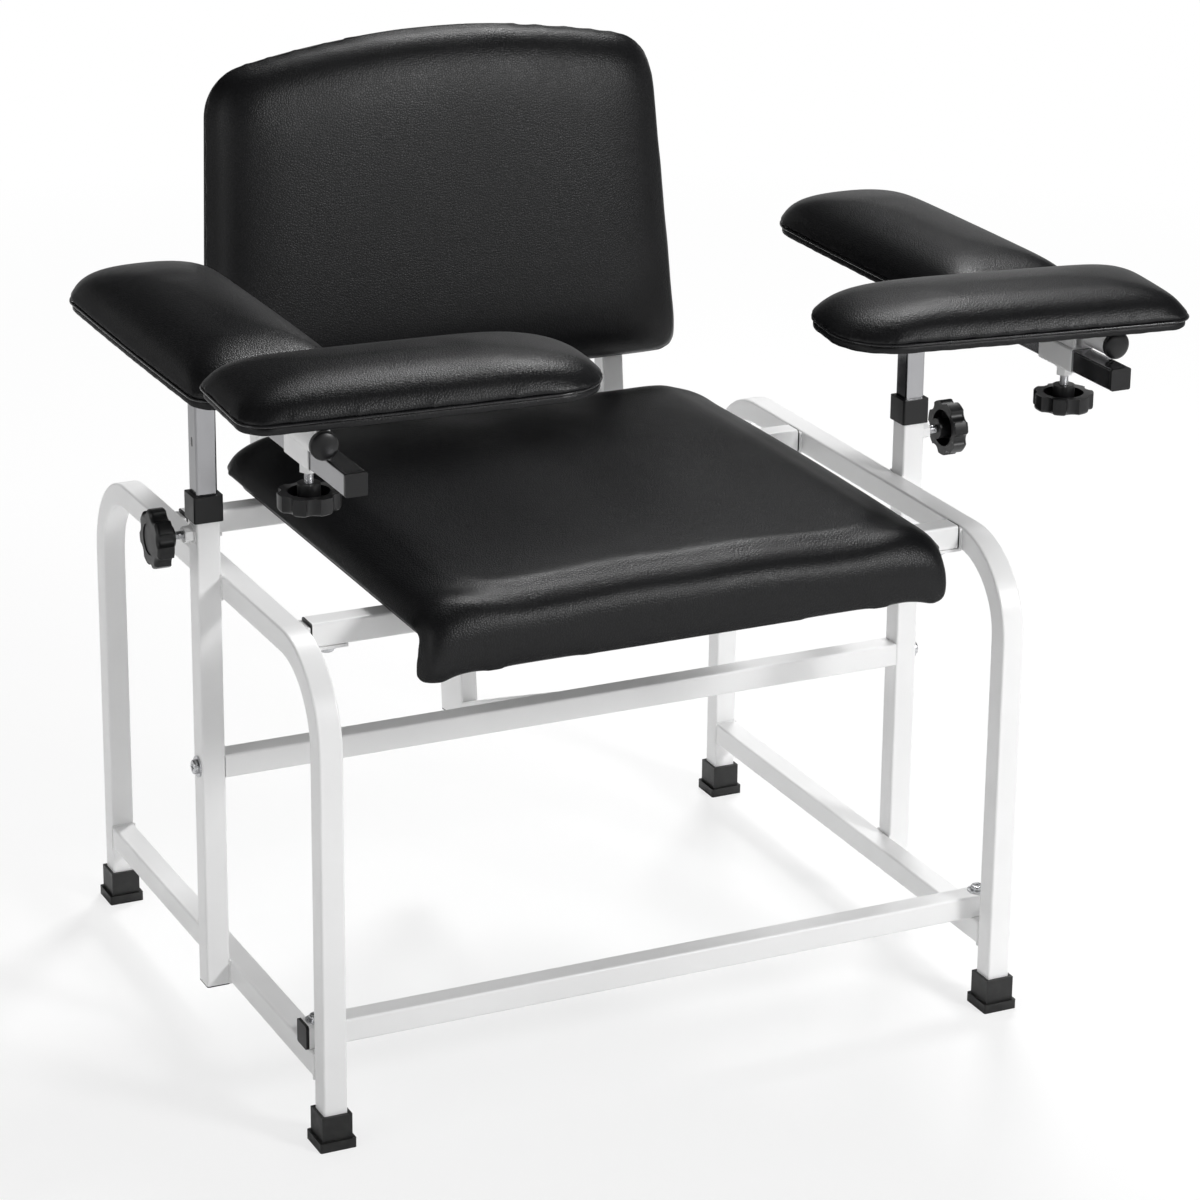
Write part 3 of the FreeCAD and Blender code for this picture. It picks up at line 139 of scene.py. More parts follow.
def into(tree, shader, **values):
    for key, value in values.items():
        tree.links.new(value, shader.inputs[key.replace("_", " ")])


# Pebbles of the leather's grain along a metre.
GRAIN = 400.0


def black_leather():
    """Fine-grained black upholstery."""
    material, tree, shader = new_material("black_leather", IOR=1.45, Specular_IOR_Level=0.25)
    place = object_place(tree)
    pebble = cells(tree, place, GRAIN, "SMOOTH_F1")
    crease = spread(tree, cells(tree, place, GRAIN, "DISTANCE_TO_EDGE"), 0.0, 0.2, 0.0, 1.0)
    pore = noise(tree, place, 1500.0, 2.0)
    grain = math_node(tree, "SUBTRACT", crease, math_node(tree, "MULTIPLY", pebble, 0.9))
    grain = math_node(tree, "ADD", grain, math_node(tree, "MULTIPLY", pore, 0.25))
    bumped(tree, shader, grain, 0.6, 0.00016)
    cloudy = noise(tree, place, 11.0, 3.0)
    # gloss: some where it faces the viewer, little at a slant, and a sheen along its outline
    facing = add(tree, "ShaderNodeLayerWeight", {"Blend": 0.5}).outputs["Facing"]
    gloss = spread(tree, facing, 0.1, 0.62, 0.38, 0.05)
    gloss = math_node(tree, "ADD", gloss, spread(tree, facing, 0.72, 0.95, 0.0, 0.3))
    into(tree, shader,
         Base_Color=tone(tree, crease, (0.0025, 0.0025, 0.003), (0.006, 0.0062, 0.007)),
         Roughness=spread(tree, cloudy, 0.3, 0.7, 0.37, 0.44), Specular_IOR_Level=gloss)
    return material


def glossy_welt_painted_highlight():
    """Smoother strip of the same cover, stretched over a cord, in a lighter colour than the cover:
    a painted highlight along the pad's foot.
    """
    # base colour lighter than the cover's: painted highlight; the lower roughness is the welt's own
    # gloss
    material, tree, shader = new_material("welt_leather_painted_highlight", IOR=1.5,
                                          Base_Color=(0.01, 0.01, 0.011, 1))
    place = object_place(tree)
    bumped(tree, shader, cells(tree, place, 900.0, "SMOOTH_F1"), 0.2, 0.0001)
    into(tree, shader, Roughness=spread(tree, noise(tree, place, 60.0), 0.3, 0.7, 0.2, 0.3))
    return material


def white_powder_coat():
    material, tree, shader = new_material("white_powder_coat", IOR=1.5, Coat_Weight=0.15,
                                          Coat_Roughness=0.12)
    place = object_place(tree)
    peel = noise(tree, place, 420.0, 2.0)
    bumped(tree, shader, peel, 0.25, 0.00012)
    cloudy = noise(tree, place, 6.0, 3.0)
    into(tree, shader,
         Base_Color=tone(tree, spread(tree, cloudy, 0.35, 0.65, 0.0, 1.0), (0.86, 0.86, 0.86),
                         (0.91, 0.91, 0.91)),
         Roughness=spread(tree, peel, 0.3, 0.7, 0.30, 0.40))
    return material


def polished_chrome():
    material, tree, shader = new_material("polished_chrome", Metallic=1.0)
    drawn = noise(tree, stretched_place(tree, (900.0, 900.0, 6.0)), 1.0, 3.0)
    # blotches: rougher where smudged, and lighter or darker in colour as a painted reflection
    # contrast
    smudge_and_painted_reflection = noise(tree, object_place(tree), 34.0, 4.0)
    bumped(tree, shader, drawn, 0.06, 0.0001)
    into(tree, shader,
         Base_Color=tone(tree, smudge_and_painted_reflection, (0.28, 0.28, 0.29), (0.40, 0.40, 0.41)),
         Roughness=spread(tree, smudge_and_painted_reflection, 0.3, 0.7, 0.10, 0.22))
    return material


def zinc_plate():
    material, tree, shader = new_material("zinc_plate", Metallic=1.0)
    place = object_place(tree)
    cloudy = noise(tree, place, 260.0, 4.0)
    bumped(tree, shader, noise(tree, place, 2600.0, 2.0), 0.15, 0.00005)
    into(tree, shader,
         Base_Color=tone(tree, cloudy, (0.50, 0.51, 0.53), (0.70, 0.70, 0.71)),
         Roughness=spread(tree, cloudy, 0.3, 0.7, 0.22, 0.38))
    return material


def moulded_plastic():
    material, tree, shader = new_material("moulded_plastic", IOR=1.49, Specular_IOR_Level=0.4)
    place = object_place(tree)
    spark = noise(tree, place, 1500.0, 2.0)
    bumped(tree, shader, spark, 0.25, 0.00008)
    cloudy = noise(tree, place, 45.0, 3.0)
    into(tree, shader,
         Base_Color=tone(tree, cloudy, (0.004, 0.004, 0.0045), (0.009, 0.009, 0.0095)),
         Roughness=spread(tree, cloudy, 0.3, 0.7, 0.28, 0.40))
    return material


def foot_rubber():
    material, tree, shader = new_material("foot_rubber", IOR=1.5, Specular_IOR_Level=0.45)
    place = object_place(tree)
    bumped(tree, shader, noise(tree, place, 1100.0, 3.0), 0.3, 0.0001)
    dust = noise(tree, place, 90.0, 5.0)
    into(tree, shader,
         Base_Color=tone(tree, spread(tree, dust, 0.45, 0.75, 0.0, 1.0), (0.009, 0.009, 0.009),
                         (0.022, 0.022, 0.021)),
         Roughness=spread(tree, dust, 0.3, 0.7, 0.34, 0.52))
    return material


def backing_cloth():
    """Black cloth under the boards, with crossed threads."""
    material, tree, shader = new_material("backing_cloth", Sheen_Weight=0.25, Sheen_Roughness=0.5)
    place = object_place(tree)
    threads = []
    for direction in ("X", "Y"):
        wave = add(tree, "ShaderNodeTexWave", {"Vector": place, "Scale": 420.0, "Distortion": 0.8},
                   bands_direction=direction)
        threads.append(wave.outputs["Fac"])
    weave = math_node(tree, "MAXIMUM", *threads)
    bumped(tree, shader, weave, 0.35, 0.0001)
    lint = noise(tree, place, 700.0, 4.0)
    into(tree, shader,
         Base_Color=tone(tree, math_node(tree, "MULTIPLY", weave, lint), (0.007, 0.007, 0.007),
                         (0.03, 0.03, 0.029)),
         Roughness=spread(tree, lint, 0.3, 0.7, 0.75, 0.95))
    return material


LEATHER = black_leather()
WELT = glossy_welt_painted_highlight()
WHITE = white_powder_coat()
CHROME = polished_chrome()
ZINC = zinc_plate()
PLASTIC = moulded_plastic()
RUBBER = foot_rubber()
CLOTH = backing_cloth()
BY_SLOT = {
    "white_tube": WHITE,
    "chrome": CHROME,
    "zinc": ZINC,
    "black_plastic": PLASTIC,
    "black_rubber": RUBBER,
    "black_upholstery": LEATHER,
    "board": CLOTH,
}
SLOT_OF = {row["node"]: row["material_slot"] for row in frame["record"]["subparts"]}


def dress_cad_nodes():
    for name, thing in frame["nodes"].items():
        thing.data.materials.clear()
        thing.data.materials.append(BY_SLOT[SLOT_OF[name]])


# Meshes
# Corners closer than this are one corner.
SAME_PLACE = 0.00001


def new_piece(name, mesh, material):
    piece = bpy.data.objects.new(name, mesh)
    scene.collection.objects.link(piece)
    mesh.materials.clear()
    mesh.materials.append(material)
    return piece


def made_plain(piece):
    """The piece's modifiers turned into plain mesh."""
    graph = bpy.context.evaluated_depsgraph_get()
    mesh = bpy.data.meshes.new_from_object(piece.evaluated_get(graph))
    piece.modifiers.clear()
    piece.data = mesh
    return piece


def corners_of(mesh):
    places = np.empty(len(mesh.vertices) * 3)
    mesh.vertices.foreach_get("co", places)
    return places.reshape(-1, 3)


def normals_of(mesh):
    normals = np.empty(len(mesh.vertices) * 3)
    mesh.vertices.foreach_get("normal", normals)
    return normals.reshape(-1, 3)


def even_normals(mesh):
    """Outward directions that change evenly over sharp edges."""
    every = np.ones(len(mesh.vertices))
    normals = normals_of(mesh)
    normals = np.stack([evened_out(mesh, normals[:, i], every, NORMAL_EVENING)
                        for i in range(3)], axis=1)
    return normals / np.maximum(np.linalg.norm(normals, axis=1, keepdims=True), 1e-6)


def move_corners(mesh, places):
    mesh.vertices.foreach_set("co", places.ravel())
    mesh.update()


def smooth_shaded(mesh):
    mesh.polygons.foreach_set("use_smooth", [True] * len(mesh.polygons))


def even_copy(node, name, voxel):
    """A copy of a CAD cushion with small even faces."""
    mesh = frame["nodes"][node].data.copy()
    shell = bmesh.new()
    shell.from_mesh(mesh)
    bmesh.ops.remove_doubles(shell, verts=shell.verts, dist=SAME_PLACE)
    shell.to_mesh(mesh)
    shell.free()
    piece = new_piece(name, mesh, LEATHER)
    remesh = piece.modifiers.new("even", "REMESH")
    remesh.mode = "VOXEL"
    remesh.voxel_size = voxel
    smooth = piece.modifiers.new("smooth", "SMOOTH")
    smooth.factor = 0.5
    smooth.iterations = 6
    snug = piece.modifiers.new("snug", "SHRINKWRAP")
    snug.target = frame["nodes"][node]
    return made_plain(piece)


def ramp(values, start, end):
    """0 before start, 1 after end and smooth between."""
    share = np.clip((values - start) / (end - start), 0, 1)
    return share * share * (3 - 2 * share)


# The covers' simulation: air pressure, last frame, and how far a point may move.
PRESSURE = 4.0
LAST_FRAME = 20
ROOM = 0.003
# Corners less free than this are pinned.
PINNED = 0.05
# How often the swelling is averaged with its neighbours: foam lets no small crease stay.
EVENING = 420
# How far a cover is drawn in before it swells, and how often that is averaged.
SWELL = 0.0022
DRAW_EVENING = 30
# How far above its board a cover gives way fully.
SOFT_FROM = 0.011
# How often directions are averaged over sharp edges.
NORMAL_EVENING = 5


def puffed(piece, free):
    """Blows the cover up from inside like foam, by a small way only."""
    group = piece.vertex_groups.new(name="held")
    group.add([int(i) for i in np.flatnonzero(free < PINNED)], 1.0, "REPLACE")
    before = corners_of(piece.data)
    cloth = piece.modifiers.new("cover", "CLOTH")
    cloth.settings.quality = 4
    cloth.settings.mass = 0.3
    cloth.settings.tension_stiffness = 20
    cloth.settings.compression_stiffness = 20
    cloth.settings.shear_stiffness = 10
    cloth.settings.bending_stiffness = 2
    cloth.settings.use_pressure = True
    cloth.settings.uniform_pressure_force = PRESSURE
    cloth.settings.vertex_group_mass = "held"
    cloth.settings.effector_weights.gravity = 0
    cloth.collision_settings.use_collision = False
    cloth.point_cache.frame_start = 1
    cloth.point_cache.frame_end = LAST_FRAME
    for number in range(1, LAST_FRAME + 1):
        scene.frame_set(number)
    made_plain(piece)
    scene.frame_set(1)
    after = corners_of(piece.data)
    move_corners(piece.data, before)
    outward = even_normals(piece.data)
    swell = np.clip(np.sum((after - before) * outward, axis=1), -ROOM, ROOM)
    swell = evened_out(piece.data, swell * free, free, EVENING)
    move_corners(piece.data, before + outward * (swell * free)[:, None])


def evened_out(mesh, values, free, times):
    """Values at a mesh's corners, averaged along its edges as far as each corner is free."""
    count = len(values)
    pairs = np.empty(len(mesh.edges) * 2, dtype=np.int32)
    mesh.edges.foreach_get("vertices", pairs)
    first, second = pairs.reshape(-1, 2).T
    near = np.maximum(np.bincount(first, minlength=count) + np.bincount(second, minlength=count), 1)
    for _ in range(times):
        total = (np.bincount(first, values[second], count)
                 + np.bincount(second, values[first], count))
        values = values + 0.5 * free * (total / near - values)
    return values


def eased(piece, free, times):
    """Rounds the foam's edges off; the foot of the cover stays."""
    places = corners_of(piece.data)
    places = np.stack([evened_out(piece.data, places[:, i], free, times) for i in range(3)], axis=1)
    move_corners(piece.data, places)


def rounded_off(piece):
    """One more division, smooth shading and the cover's finish."""
    piece.vertex_groups.clear()
    division = piece.modifiers.new("division", "SUBSURF")
    division.levels = 1
    division.render_levels = 1
    made_plain(piece)
    smooth_shaded(piece.data)
    piece.data.materials.clear()
    piece.data.materials.append(LEATHER)


def shrunk(piece, free):
    """Draws the free cover in, so that it swells back to its size."""
    mesh = piece.data
    draw = evened_out(mesh, SWELL * free, free, DRAW_EVENING)
    move_corners(mesh, corners_of(mesh) - even_normals(mesh) * (draw * free)[:, None])


def dressed(piece, node, body):
    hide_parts(node)
    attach(piece, body)


# Size of the faces, and how often the edges are averaged, for each kind of cushion.
SEAT_FACE, SEAT_EASING = 0.006, 12
BACK_FACE, BACK_EASING = 0.005, 50
PAD_FACE, PAD_EASING = 0.004, 60

# The seat's raised middle, and how deep the dip round it is.
RAISED_HALF_WIDTH = 0.238
RAISED_FRONT = -0.312
RAISED_CORNER = 0.062
DIP_FRONT = 0.0035
DIP_SIDE = 0.0012
# Where across the roll the dip starts, is full, starts to rise and ends.
DIP_ACROSS = (-0.006, 0.012, 0.018, 0.045)
# Between which heights of its direction a face turns from side to top.
TURNS_UP = (0.2, 0.7)
# The lip: where its inner face starts and ends, how deep it is where it fades out, how far its
# low edge counts as free cover, how high it reaches, how much lower its corners hang and from
# where.
LIP_INNER = (0.020, 0.034)
LIP_DEEP = (0.020, 0.040)
LIP_GIVE = 0.007
LIP_TALL = 0.05
LIP_SAG = 0.007
LIP_CORNER = 0.235


def seat_cushion():
    """Seat with a flat raised middle, a soft roll along the front and a hanging lip."""
    piece = even_copy("seat_cushion", "seat_cover", SEAT_FACE)
    low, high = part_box("seat_cushion")
    places = corners_of(piece.data)
    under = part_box("seat_board")[1].z
    behind_lip = ramp(places[:, 1] - low.y, *LIP_INNER)
    lip_foot = low.z - LIP_GIVE
    foot = lip_foot + (under - lip_foot) * behind_lip
    free = ramp(places[:, 2] - foot, 0, SOFT_FROM)
    eased(piece, free, SEAT_EASING)
    shrunk(piece, free)
    puffed(piece, free)
    # the dip between the raised middle and the roll along the front and the sides
    places = corners_of(piece.data)
    facing_up = ramp(normals_of(piece.data)[:, 2], *TURNS_UP)
    across = np.maximum(np.abs(places[:, 0]) - (RAISED_HALF_WIDTH - RAISED_CORNER), 0)
    ahead = np.maximum(RAISED_FRONT + RAISED_CORNER - places[:, 1], 0)
    beyond = np.hypot(across, ahead) - RAISED_CORNER
    frontward = ahead / np.maximum(np.hypot(across, ahead), 1e-6)
    depth = DIP_SIDE + (DIP_FRONT - DIP_SIDE) * frontward ** 2
    start, full, rising, end = DIP_ACROSS
    dip = ramp(beyond, start, full) * (1 - ramp(beyond, rising, end))
    places[:, 2] -= depth * dip * facing_up
    # the lip hangs a little lower at its two corners
    lip = 1 - ramp(places[:, 2], low.z, low.z + LIP_TALL)
    lip *= 1 - ramp(places[:, 1] - low.y, *LIP_DEEP)
    corner = ramp(np.abs(places[:, 0]), LIP_CORNER, high.x)
    places[:, 2] -= LIP_SAG * lip * corner
    move_corners(piece.data, places)
    rounded_off(piece)
    dressed(piece, "seat_cushion", "frame")


def back_cushion():
    piece = even_copy("back_cushion", "back_cover", BACK_FACE)
    board = frame["nodes"]["back_board"].data
    lean = math.radians(BACK_LEAN)
    outward = np.array([0, -math.cos(lean), math.sin(lean)])
    plane = (corners_of(board) @ outward).max()
    places = corners_of(piece.data)
    free = ramp(places @ outward - plane, 0, SOFT_FROM)
    eased(piece, free, BACK_EASING)
    shrunk(piece, free)
    puffed(piece, free)
    rounded_off(piece)
    dressed(piece, "back_cushion", "frame")


# How far a pad's sides stand out beyond an even crown, and how often that is averaged.
FULLNESS = 0.0035
FULLNESS_EVENING = 6


def arm_pad(node, body):
    piece = even_copy(node, node + "_cover", PAD_FACE)
    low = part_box(node)[0].z
    places = corners_of(piece.data)
    free = ramp(places[:, 2] - low, 0, SOFT_FROM)
    eased(piece, free, PAD_EASING)
    places = corners_of(piece.data)
    rise = np.clip((places[:, 2] - low) / (places[:, 2].max() - low), 0, 1)
    fuller = FULLNESS * np.sin(math.pi * rise)
    fuller = evened_out(piece.data, fuller, free, FULLNESS_EVENING)
    move_corners(piece.data, places + normals_of(piece.data) * fuller[:, None])
    shrunk(piece, free)
    puffed(piece, free)
    rounded_off(piece)
    dressed(piece, node, body)


# Shapes that repeat or follow a path
def growing_tree(name, sizes):
    """An empty geometry tree with named sizes; gives the tree, its start and its end."""
    tree = bpy.data.node_groups.new(name, "GeometryNodeTree")
    face = tree.interface
    face.new_socket(name="Geometry", in_out="INPUT", socket_type="NodeSocketGeometry")
    for label, value in sizes.items():
        kind = "NodeSocketInt" if isinstance(value, int) else "NodeSocketFloat"
        face.new_socket(name=label, in_out="INPUT", socket_type=kind).default_value = value
    face.new_socket(name="Geometry", in_out="OUTPUT", socket_type="NodeSocketGeometry")
    return tree, tree.nodes.new("NodeGroupInput"), tree.nodes.new("NodeGroupOutput")


def ended(tree, end, shape, material):
    """Realized, smooth and in its material."""
    real = add(tree, "GeometryNodeRealizeInstances", {"Geometry": shape}).outputs[0]
    smooth = add(tree, "GeometryNodeSetShadeSmooth", {"Geometry": real}).outputs[0]
    dress = add(tree, "GeometryNodeSetMaterial", {"Geometry": smooth, "Material": material})
    tree.links.new(dress.outputs[0], end.inputs[0])


def bead_tree(material):
    """Overlapping drops along a path, as a weld leaves them."""
    tree, start, end = growing_tree("weld_bead", {"Pitch": 0.0016, "Radius": 0.0017})
    path = add(tree, "GeometryNodeMeshToCurve", {"Mesh": start.outputs["Geometry"]}).outputs[0]
    even = add(tree, "GeometryNodeResampleCurve", {
        "Curve": path, "Length": start.outputs["Pitch"]}, mode="LENGTH")
    drop = add(tree, "GeometryNodeMeshUVSphere", {
        "Segments": 8, "Rings": 6, "Radius": start.outputs["Radius"]}).outputs[0]
    size = add(tree, "FunctionNodeRandomValue", {"Min": 0.82, "Max": 1.08, "Seed": 5})
    placed = add(tree, "GeometryNodeInstanceOnPoints", {
        "Points": even.outputs[0], "Instance": drop, "Scale": size.outputs["Value"]})
    ended(tree, end, placed.outputs[0], material)
    return tree


def cord_tree(material):
    """A smooth cord along a closed path."""
    tree, start, end = growing_tree("welt_cord", {"Radius": 0.0013, "Sides": 10})
    path = add(tree, "GeometryNodeMeshToCurve", {"Mesh": start.outputs["Geometry"]}).outputs[0]
    ring = add(tree, "GeometryNodeCurvePrimitiveCircle", {
        "Resolution": start.outputs["Sides"], "Radius": start.outputs["Radius"]})
    tube = add(tree, "GeometryNodeCurveToMesh", {
        "Curve": path, "Profile Curve": ring.outputs["Curve"]})
    ended(tree, end, tube.outputs[0], material)
    return tree


def staple_tree(material):
    """Staples laid along a closed path, at an even pitch."""
    tree, start, end = growing_tree("staples", {
        "Pitch": 0.021, "Long": 0.010, "Wide": 0.0012, "Tall": 0.0007})
    path = add(tree, "GeometryNodeMeshToCurve", {"Mesh": start.outputs["Geometry"]}).outputs[0]
    even = add(tree, "GeometryNodeResampleCurve", {
        "Curve": path, "Length": start.outputs["Pitch"]}, mode="LENGTH")
    points = add(tree, "GeometryNodeCurveToPoints", {"Curve": even.outputs[0]}, mode="EVALUATED")
    size = add(tree, "ShaderNodeCombineXYZ", {
        "X": start.outputs["Wide"], "Y": start.outputs["Tall"], "Z": start.outputs["Long"]})
    wire = add(tree, "GeometryNodeMeshCube", {"Size": size.outputs[0]}).outputs[0]
    placed = add(tree, "GeometryNodeInstanceOnPoints", {
        "Points": points.outputs["Points"], "Instance": wire,
        "Rotation": points.outputs["Rotation"]})
    ended(tree, end, placed.outputs[0], material)
    return tree


def thread_tree(material):
    """A screw thread that climbs along Z."""
    tree, start, end = growing_tree("screw_thread", {
        "Turns": 8.0, "Radius": 0.0039, "Height": 0.010, "Ridge": 0.00055})
    climb = add(tree, "GeometryNodeCurveSpiral", {
        "Resolution": 20, "Rotations": start.outputs["Turns"],
        "Start Radius": start.outputs["Radius"], "End Radius": start.outputs["Radius"],
        "Height": start.outputs["Height"]})
    ridge = add(tree, "GeometryNodeCurvePrimitiveCircle", {
        "Resolution": 4, "Radius": start.outputs["Ridge"]})
    wound = add(tree, "GeometryNodeCurveToMesh", {
        "Curve": climb.outputs[0], "Profile Curve": ridge.outputs["Curve"], "Fill Caps": True})
    ended(tree, end, wound.outputs[0], material)
    return tree


def grown(name, mesh, tree, material, body, slot, **sizes):
    """A piece grown by a tree on a mesh, made plain and set on its body."""
    piece = new_piece(name, mesh, material)
    growth = piece.modifiers.new("growth", "NODES")
    growth.node_group = tree
    for item in tree.interface.items_tree:
        if item.in_out == "INPUT" and item.name in sizes:
            growth[item.identifier] = sizes[item.name]
    made_plain(piece)
    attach(piece, body)
    return piece


def path_mesh(name, paths):
    """Edges along several lists of points; a list marked closed ends where it starts."""
    places, edges = [], []
    for points, closed in paths:
        first = len(places)
        places += [tuple(point) for point in points]
        edges += [(i, i + 1) for i in range(first, len(places) - 1)]
        if closed:
            edges.append((len(places) - 1, first))
    mesh = bpy.data.meshes.new(name)
    mesh.from_pydata(places, edges, [])
    return mesh


# Welds: height of the posts' nuts, how tall the sleeves' nuts are, and the rings round both.
NUT_HEIGHT = 0.556
SLEEVE_NUT_TALL = 0.010
NUT_WELD_RADIUS = 0.0088


def upright_square(x, y, z, half, lean=0.0, plane="XZ"):
    """Corners of a square about a place, in a plane, turned about X by a lean."""
    points = []
    for across, up in ((-1, -1), (1, -1), (1, 1), (-1, 1)):
        if plane == "XZ":
            offset = Vector((across * half, 0, up * half))
        else:
            offset = Vector((0, across * half, up * half))
        offset.rotate(Matrix.Rotation(-lean, 3, "X"))
        points.append(Vector((x, y, z)) + offset)
    return points


def ring_points(x, y, z, radius, axis, count=24):
    points = []
    for index in range(count):
        angle = 2 * math.pi * index / count
        a, b = radius * math.cos(angle), radius * math.sin(angle)
        points.append((x, y + a, z + b) if axis == "X" else (x + a, y + b, z))
    return points


def frame_welds(tree):
    paths = []
    for name, side in SIDES:
        low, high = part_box(name + "_low_rail")
        middle = (low + high) / 2
        half = (high.x - low.x) / 2
        for y in (low.y, high.y):
            paths.append((upright_square(middle.x, y, middle.z, half), True))
        post_low, post_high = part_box(name + "_arm_post")
        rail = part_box(name + "_side_frame")[1].z
        face = middle.x + half * side
        for y in (post_low.y, post_high.y):
            for top in (rail, high.z):
                paths.append(([(face, y, top - 2 * half), (face, y, top)], False))
        nut_x = middle.x + half * 3 * side
        paths.append((ring_points(nut_x, (post_low.y + post_high.y) / 2, NUT_HEIGHT,
                                  NUT_WELD_RADIUS, "X"), True))
    low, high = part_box("back_cross_tube")
    middle = (low + high) / 2
    for x in (low.x, high.x):
        paths.append((upright_square(x, middle.y, middle.z, HALF_TUBE,
                                     math.radians(BACK_LEAN), "YZ"), True))
    grown("frame_welds", path_mesh("frame_welds", paths), tree, WHITE, "frame", "white_tube")


def sleeve_welds(side, tree):
    low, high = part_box(side + "_slide_sleeve")
    clamp_low, clamp_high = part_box(side + "_clamp_stud")
    clamp = (clamp_low + clamp_high) / 2
    nut_top = low.z + SLEEVE_NUT_TALL
    paths = [(ring_points(clamp.x, clamp.y, nut_top, NUT_WELD_RADIUS, "Z"), True)]
    grown(side + "_sleeve_welds", path_mesh("sleeve_welds", paths), tree, WHITE,
          side + "_slide", "white_tube")


# Covers' edges under the boards
def hull(points):
    """Convex outline of flat points, anticlockwise."""
    points = sorted(set(map(tuple, np.round(points, 6))))

    def half(some):
        kept = []
        for p in some:
            while len(kept) > 1 and (
                (kept[-1][0] - kept[-2][0]) * (p[1] - kept[-2][1])
                - (kept[-1][1] - kept[-2][1]) * (p[0] - kept[-2][0])
            ) <= 0:
                kept.pop()
            kept.append(p)
        return kept[:-1]

    return np.array(half(points) + half(points[::-1]))


def evened(outline, pitch):
    """Points at an even pitch along a closed outline."""
    closed = np.vstack((outline, outline[:1]))
    steps = np.linalg.norm(np.diff(closed, axis=0), axis=1)
    along = np.concatenate(([0], np.cumsum(steps)))
    spots = np.linspace(0, along[-1], int(along[-1] / pitch), endpoint=False)
    return np.stack([np.interp(spots, along, closed[:, i]) for i in (0, 1)], axis=1)


def outward_of(outline):
    """Outward directions at the points of an anticlockwise outline."""
    ahead = np.roll(outline, -1, axis=0) - np.roll(outline, 1, axis=0)
    ahead /= np.linalg.norm(ahead, axis=1, keepdims=True)
    return np.stack((ahead[:, 1], -ahead[:, 0]), axis=1)


class Plane:
    """A flat side: its origin, its two directions and the way out of it."""

    def __init__(self, origin, across, up):
        self.origin = np.array(origin)
        self.across = np.array(across)
        self.up = np.array(up)
        self.out = np.cross(self.across, self.up)

    def flat(self, places):
        rest = places - self.origin
        return np.stack((rest @ self.across, rest @ self.up), axis=1)

    def solid(self, flat, out):
        return (self.origin + flat[:, :1] * self.across + flat[:, 1:] * self.up
                + np.reshape(out, (-1, 1)) * self.out)


# The cover's thickness, how far it is turned in, how far its edge and its face wave and at
# which paces, where the staples lie from its edge, and the pitch of the points along its outline.
COVER_THICK = 0.0006
TURNED_IN = 0.020
EDGE_WAVE = 0.0012
FACE_WAVE = 0.0003
WAVE_PACES = (0.9, 0.37)
STAPLE_INSET = 0.006
OUTLINE_PITCH = 0.004


def turned_cover(node, plane, thick, body, staples):
    """The cover's edge, turned in over the back of a board and stapled."""
    board = corners_of(frame["nodes"][node].data)
    outline = evened(hull(plane.flat(board)), OUTLINE_PITCH)
    outward = outward_of(outline)
    count = len(outline)
    fast, slow = WAVE_PACES
    waves = np.sin(np.arange(count) * fast) * np.sin(np.arange(count) * slow + 1)
    profile = ((0, -thick), (COVER_THICK, -thick), (COVER_THICK, 0), (0, COVER_THICK),
               (-TURNED_IN, COVER_THICK), (-TURNED_IN, 0), (-COVER_THICK, 0))
    rings = []
    for out, up in profile:
        reach = out - (EDGE_WAVE * waves if out == -TURNED_IN else 0)
        lift = up + (FACE_WAVE * (waves + 1) if up == COVER_THICK else 0)
        flat = outline + outward * np.reshape(reach * np.ones(count), (-1, 1))
        rings.append(plane.solid(flat, lift * np.ones(count)))
    places = np.vstack(rings)
    faces = []
    for ring in range(len(profile)):
        following = (ring + 1) % len(profile)
        for i in range(count):
            j = (i + 1) % count
            faces.append((ring * count + i, ring * count + j,
                          following * count + j, following * count + i))
    mesh = bpy.data.meshes.new(node)
    mesh.from_pydata(places.tolist(), [], faces)
    shell = bmesh.new()
    shell.from_mesh(mesh)
    bmesh.ops.recalc_face_normals(shell, faces=shell.faces)
    shell.to_mesh(mesh)
    shell.free()
    smooth_shaded(mesh)
    name = node.replace("_board", "")
    piece = new_piece(name + "_turned_edge", mesh, LEATHER)
    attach(piece, body)
    line = plane.solid(outline - outward * (TURNED_IN - STAPLE_INSET),
                       COVER_THICK * 2 * np.ones(count))
    grown(name + "_staples", path_mesh("staples", [(line, True)]), staples, ZINC, body, "zinc")


# How flat the foot of a pad is.
FOOT_FLAT = 0.0004


def welt(node, body, tree):
    """Thin cord sewn round the foot of a pad's cover."""
    places = corners_of(frame["nodes"][node].data)
    low = places[:, 2].min()
    ring = hull(places[places[:, 2] < low + FOOT_FLAT][:, :2])
    points = [(x, y, low) for x, y in evened(ring, OUTLINE_PITCH)]
    grown(node + "_welt", path_mesh("welt", [(points, True)]), tree, WELT, body,
          "black_upholstery")


# Screw threads, caps and stops
# Where the posts' nuts end beside the chair, how much of a stud is bare, and its thread's pitch.
NUT_FACE = 0.4225
BARE_STUD = 0.011
THREAD_PITCH = 0.00125
# The hinge's caps: how much smaller than the pin, how tall, their rings and sides.
DOME_INSET = 0.0004
DOME_TALL = 0.0035
DOME_RINGS = 7
DOME_SIDES = 40
# The stops in the arm tubes: height, end radius, half the straight part, stand, steps round
# an end, and how much smaller their outer face is across and along.
STOP_HEIGHT = 0.651
STOP_RADIUS = 0.0022
STOP_HALF = 0.0028
STOP_STAND = 0.0001
STOP_STEPS = 12
STOP_TAPER = (0.9, 0.95)


def stud_thread(side, kind, tree, place):
    """The thread on the bare end of a stud, moved there by a matrix."""
    piece = grown("%s_%s_thread" % (side, kind), bpy.data.meshes.new("thread"), tree, ZINC,
                  "%s_%s_screw" % (side, kind), "zinc",
                  Turns=BARE_STUD / THREAD_PITCH, Height=BARE_STUD)
    piece.data.transform(place)


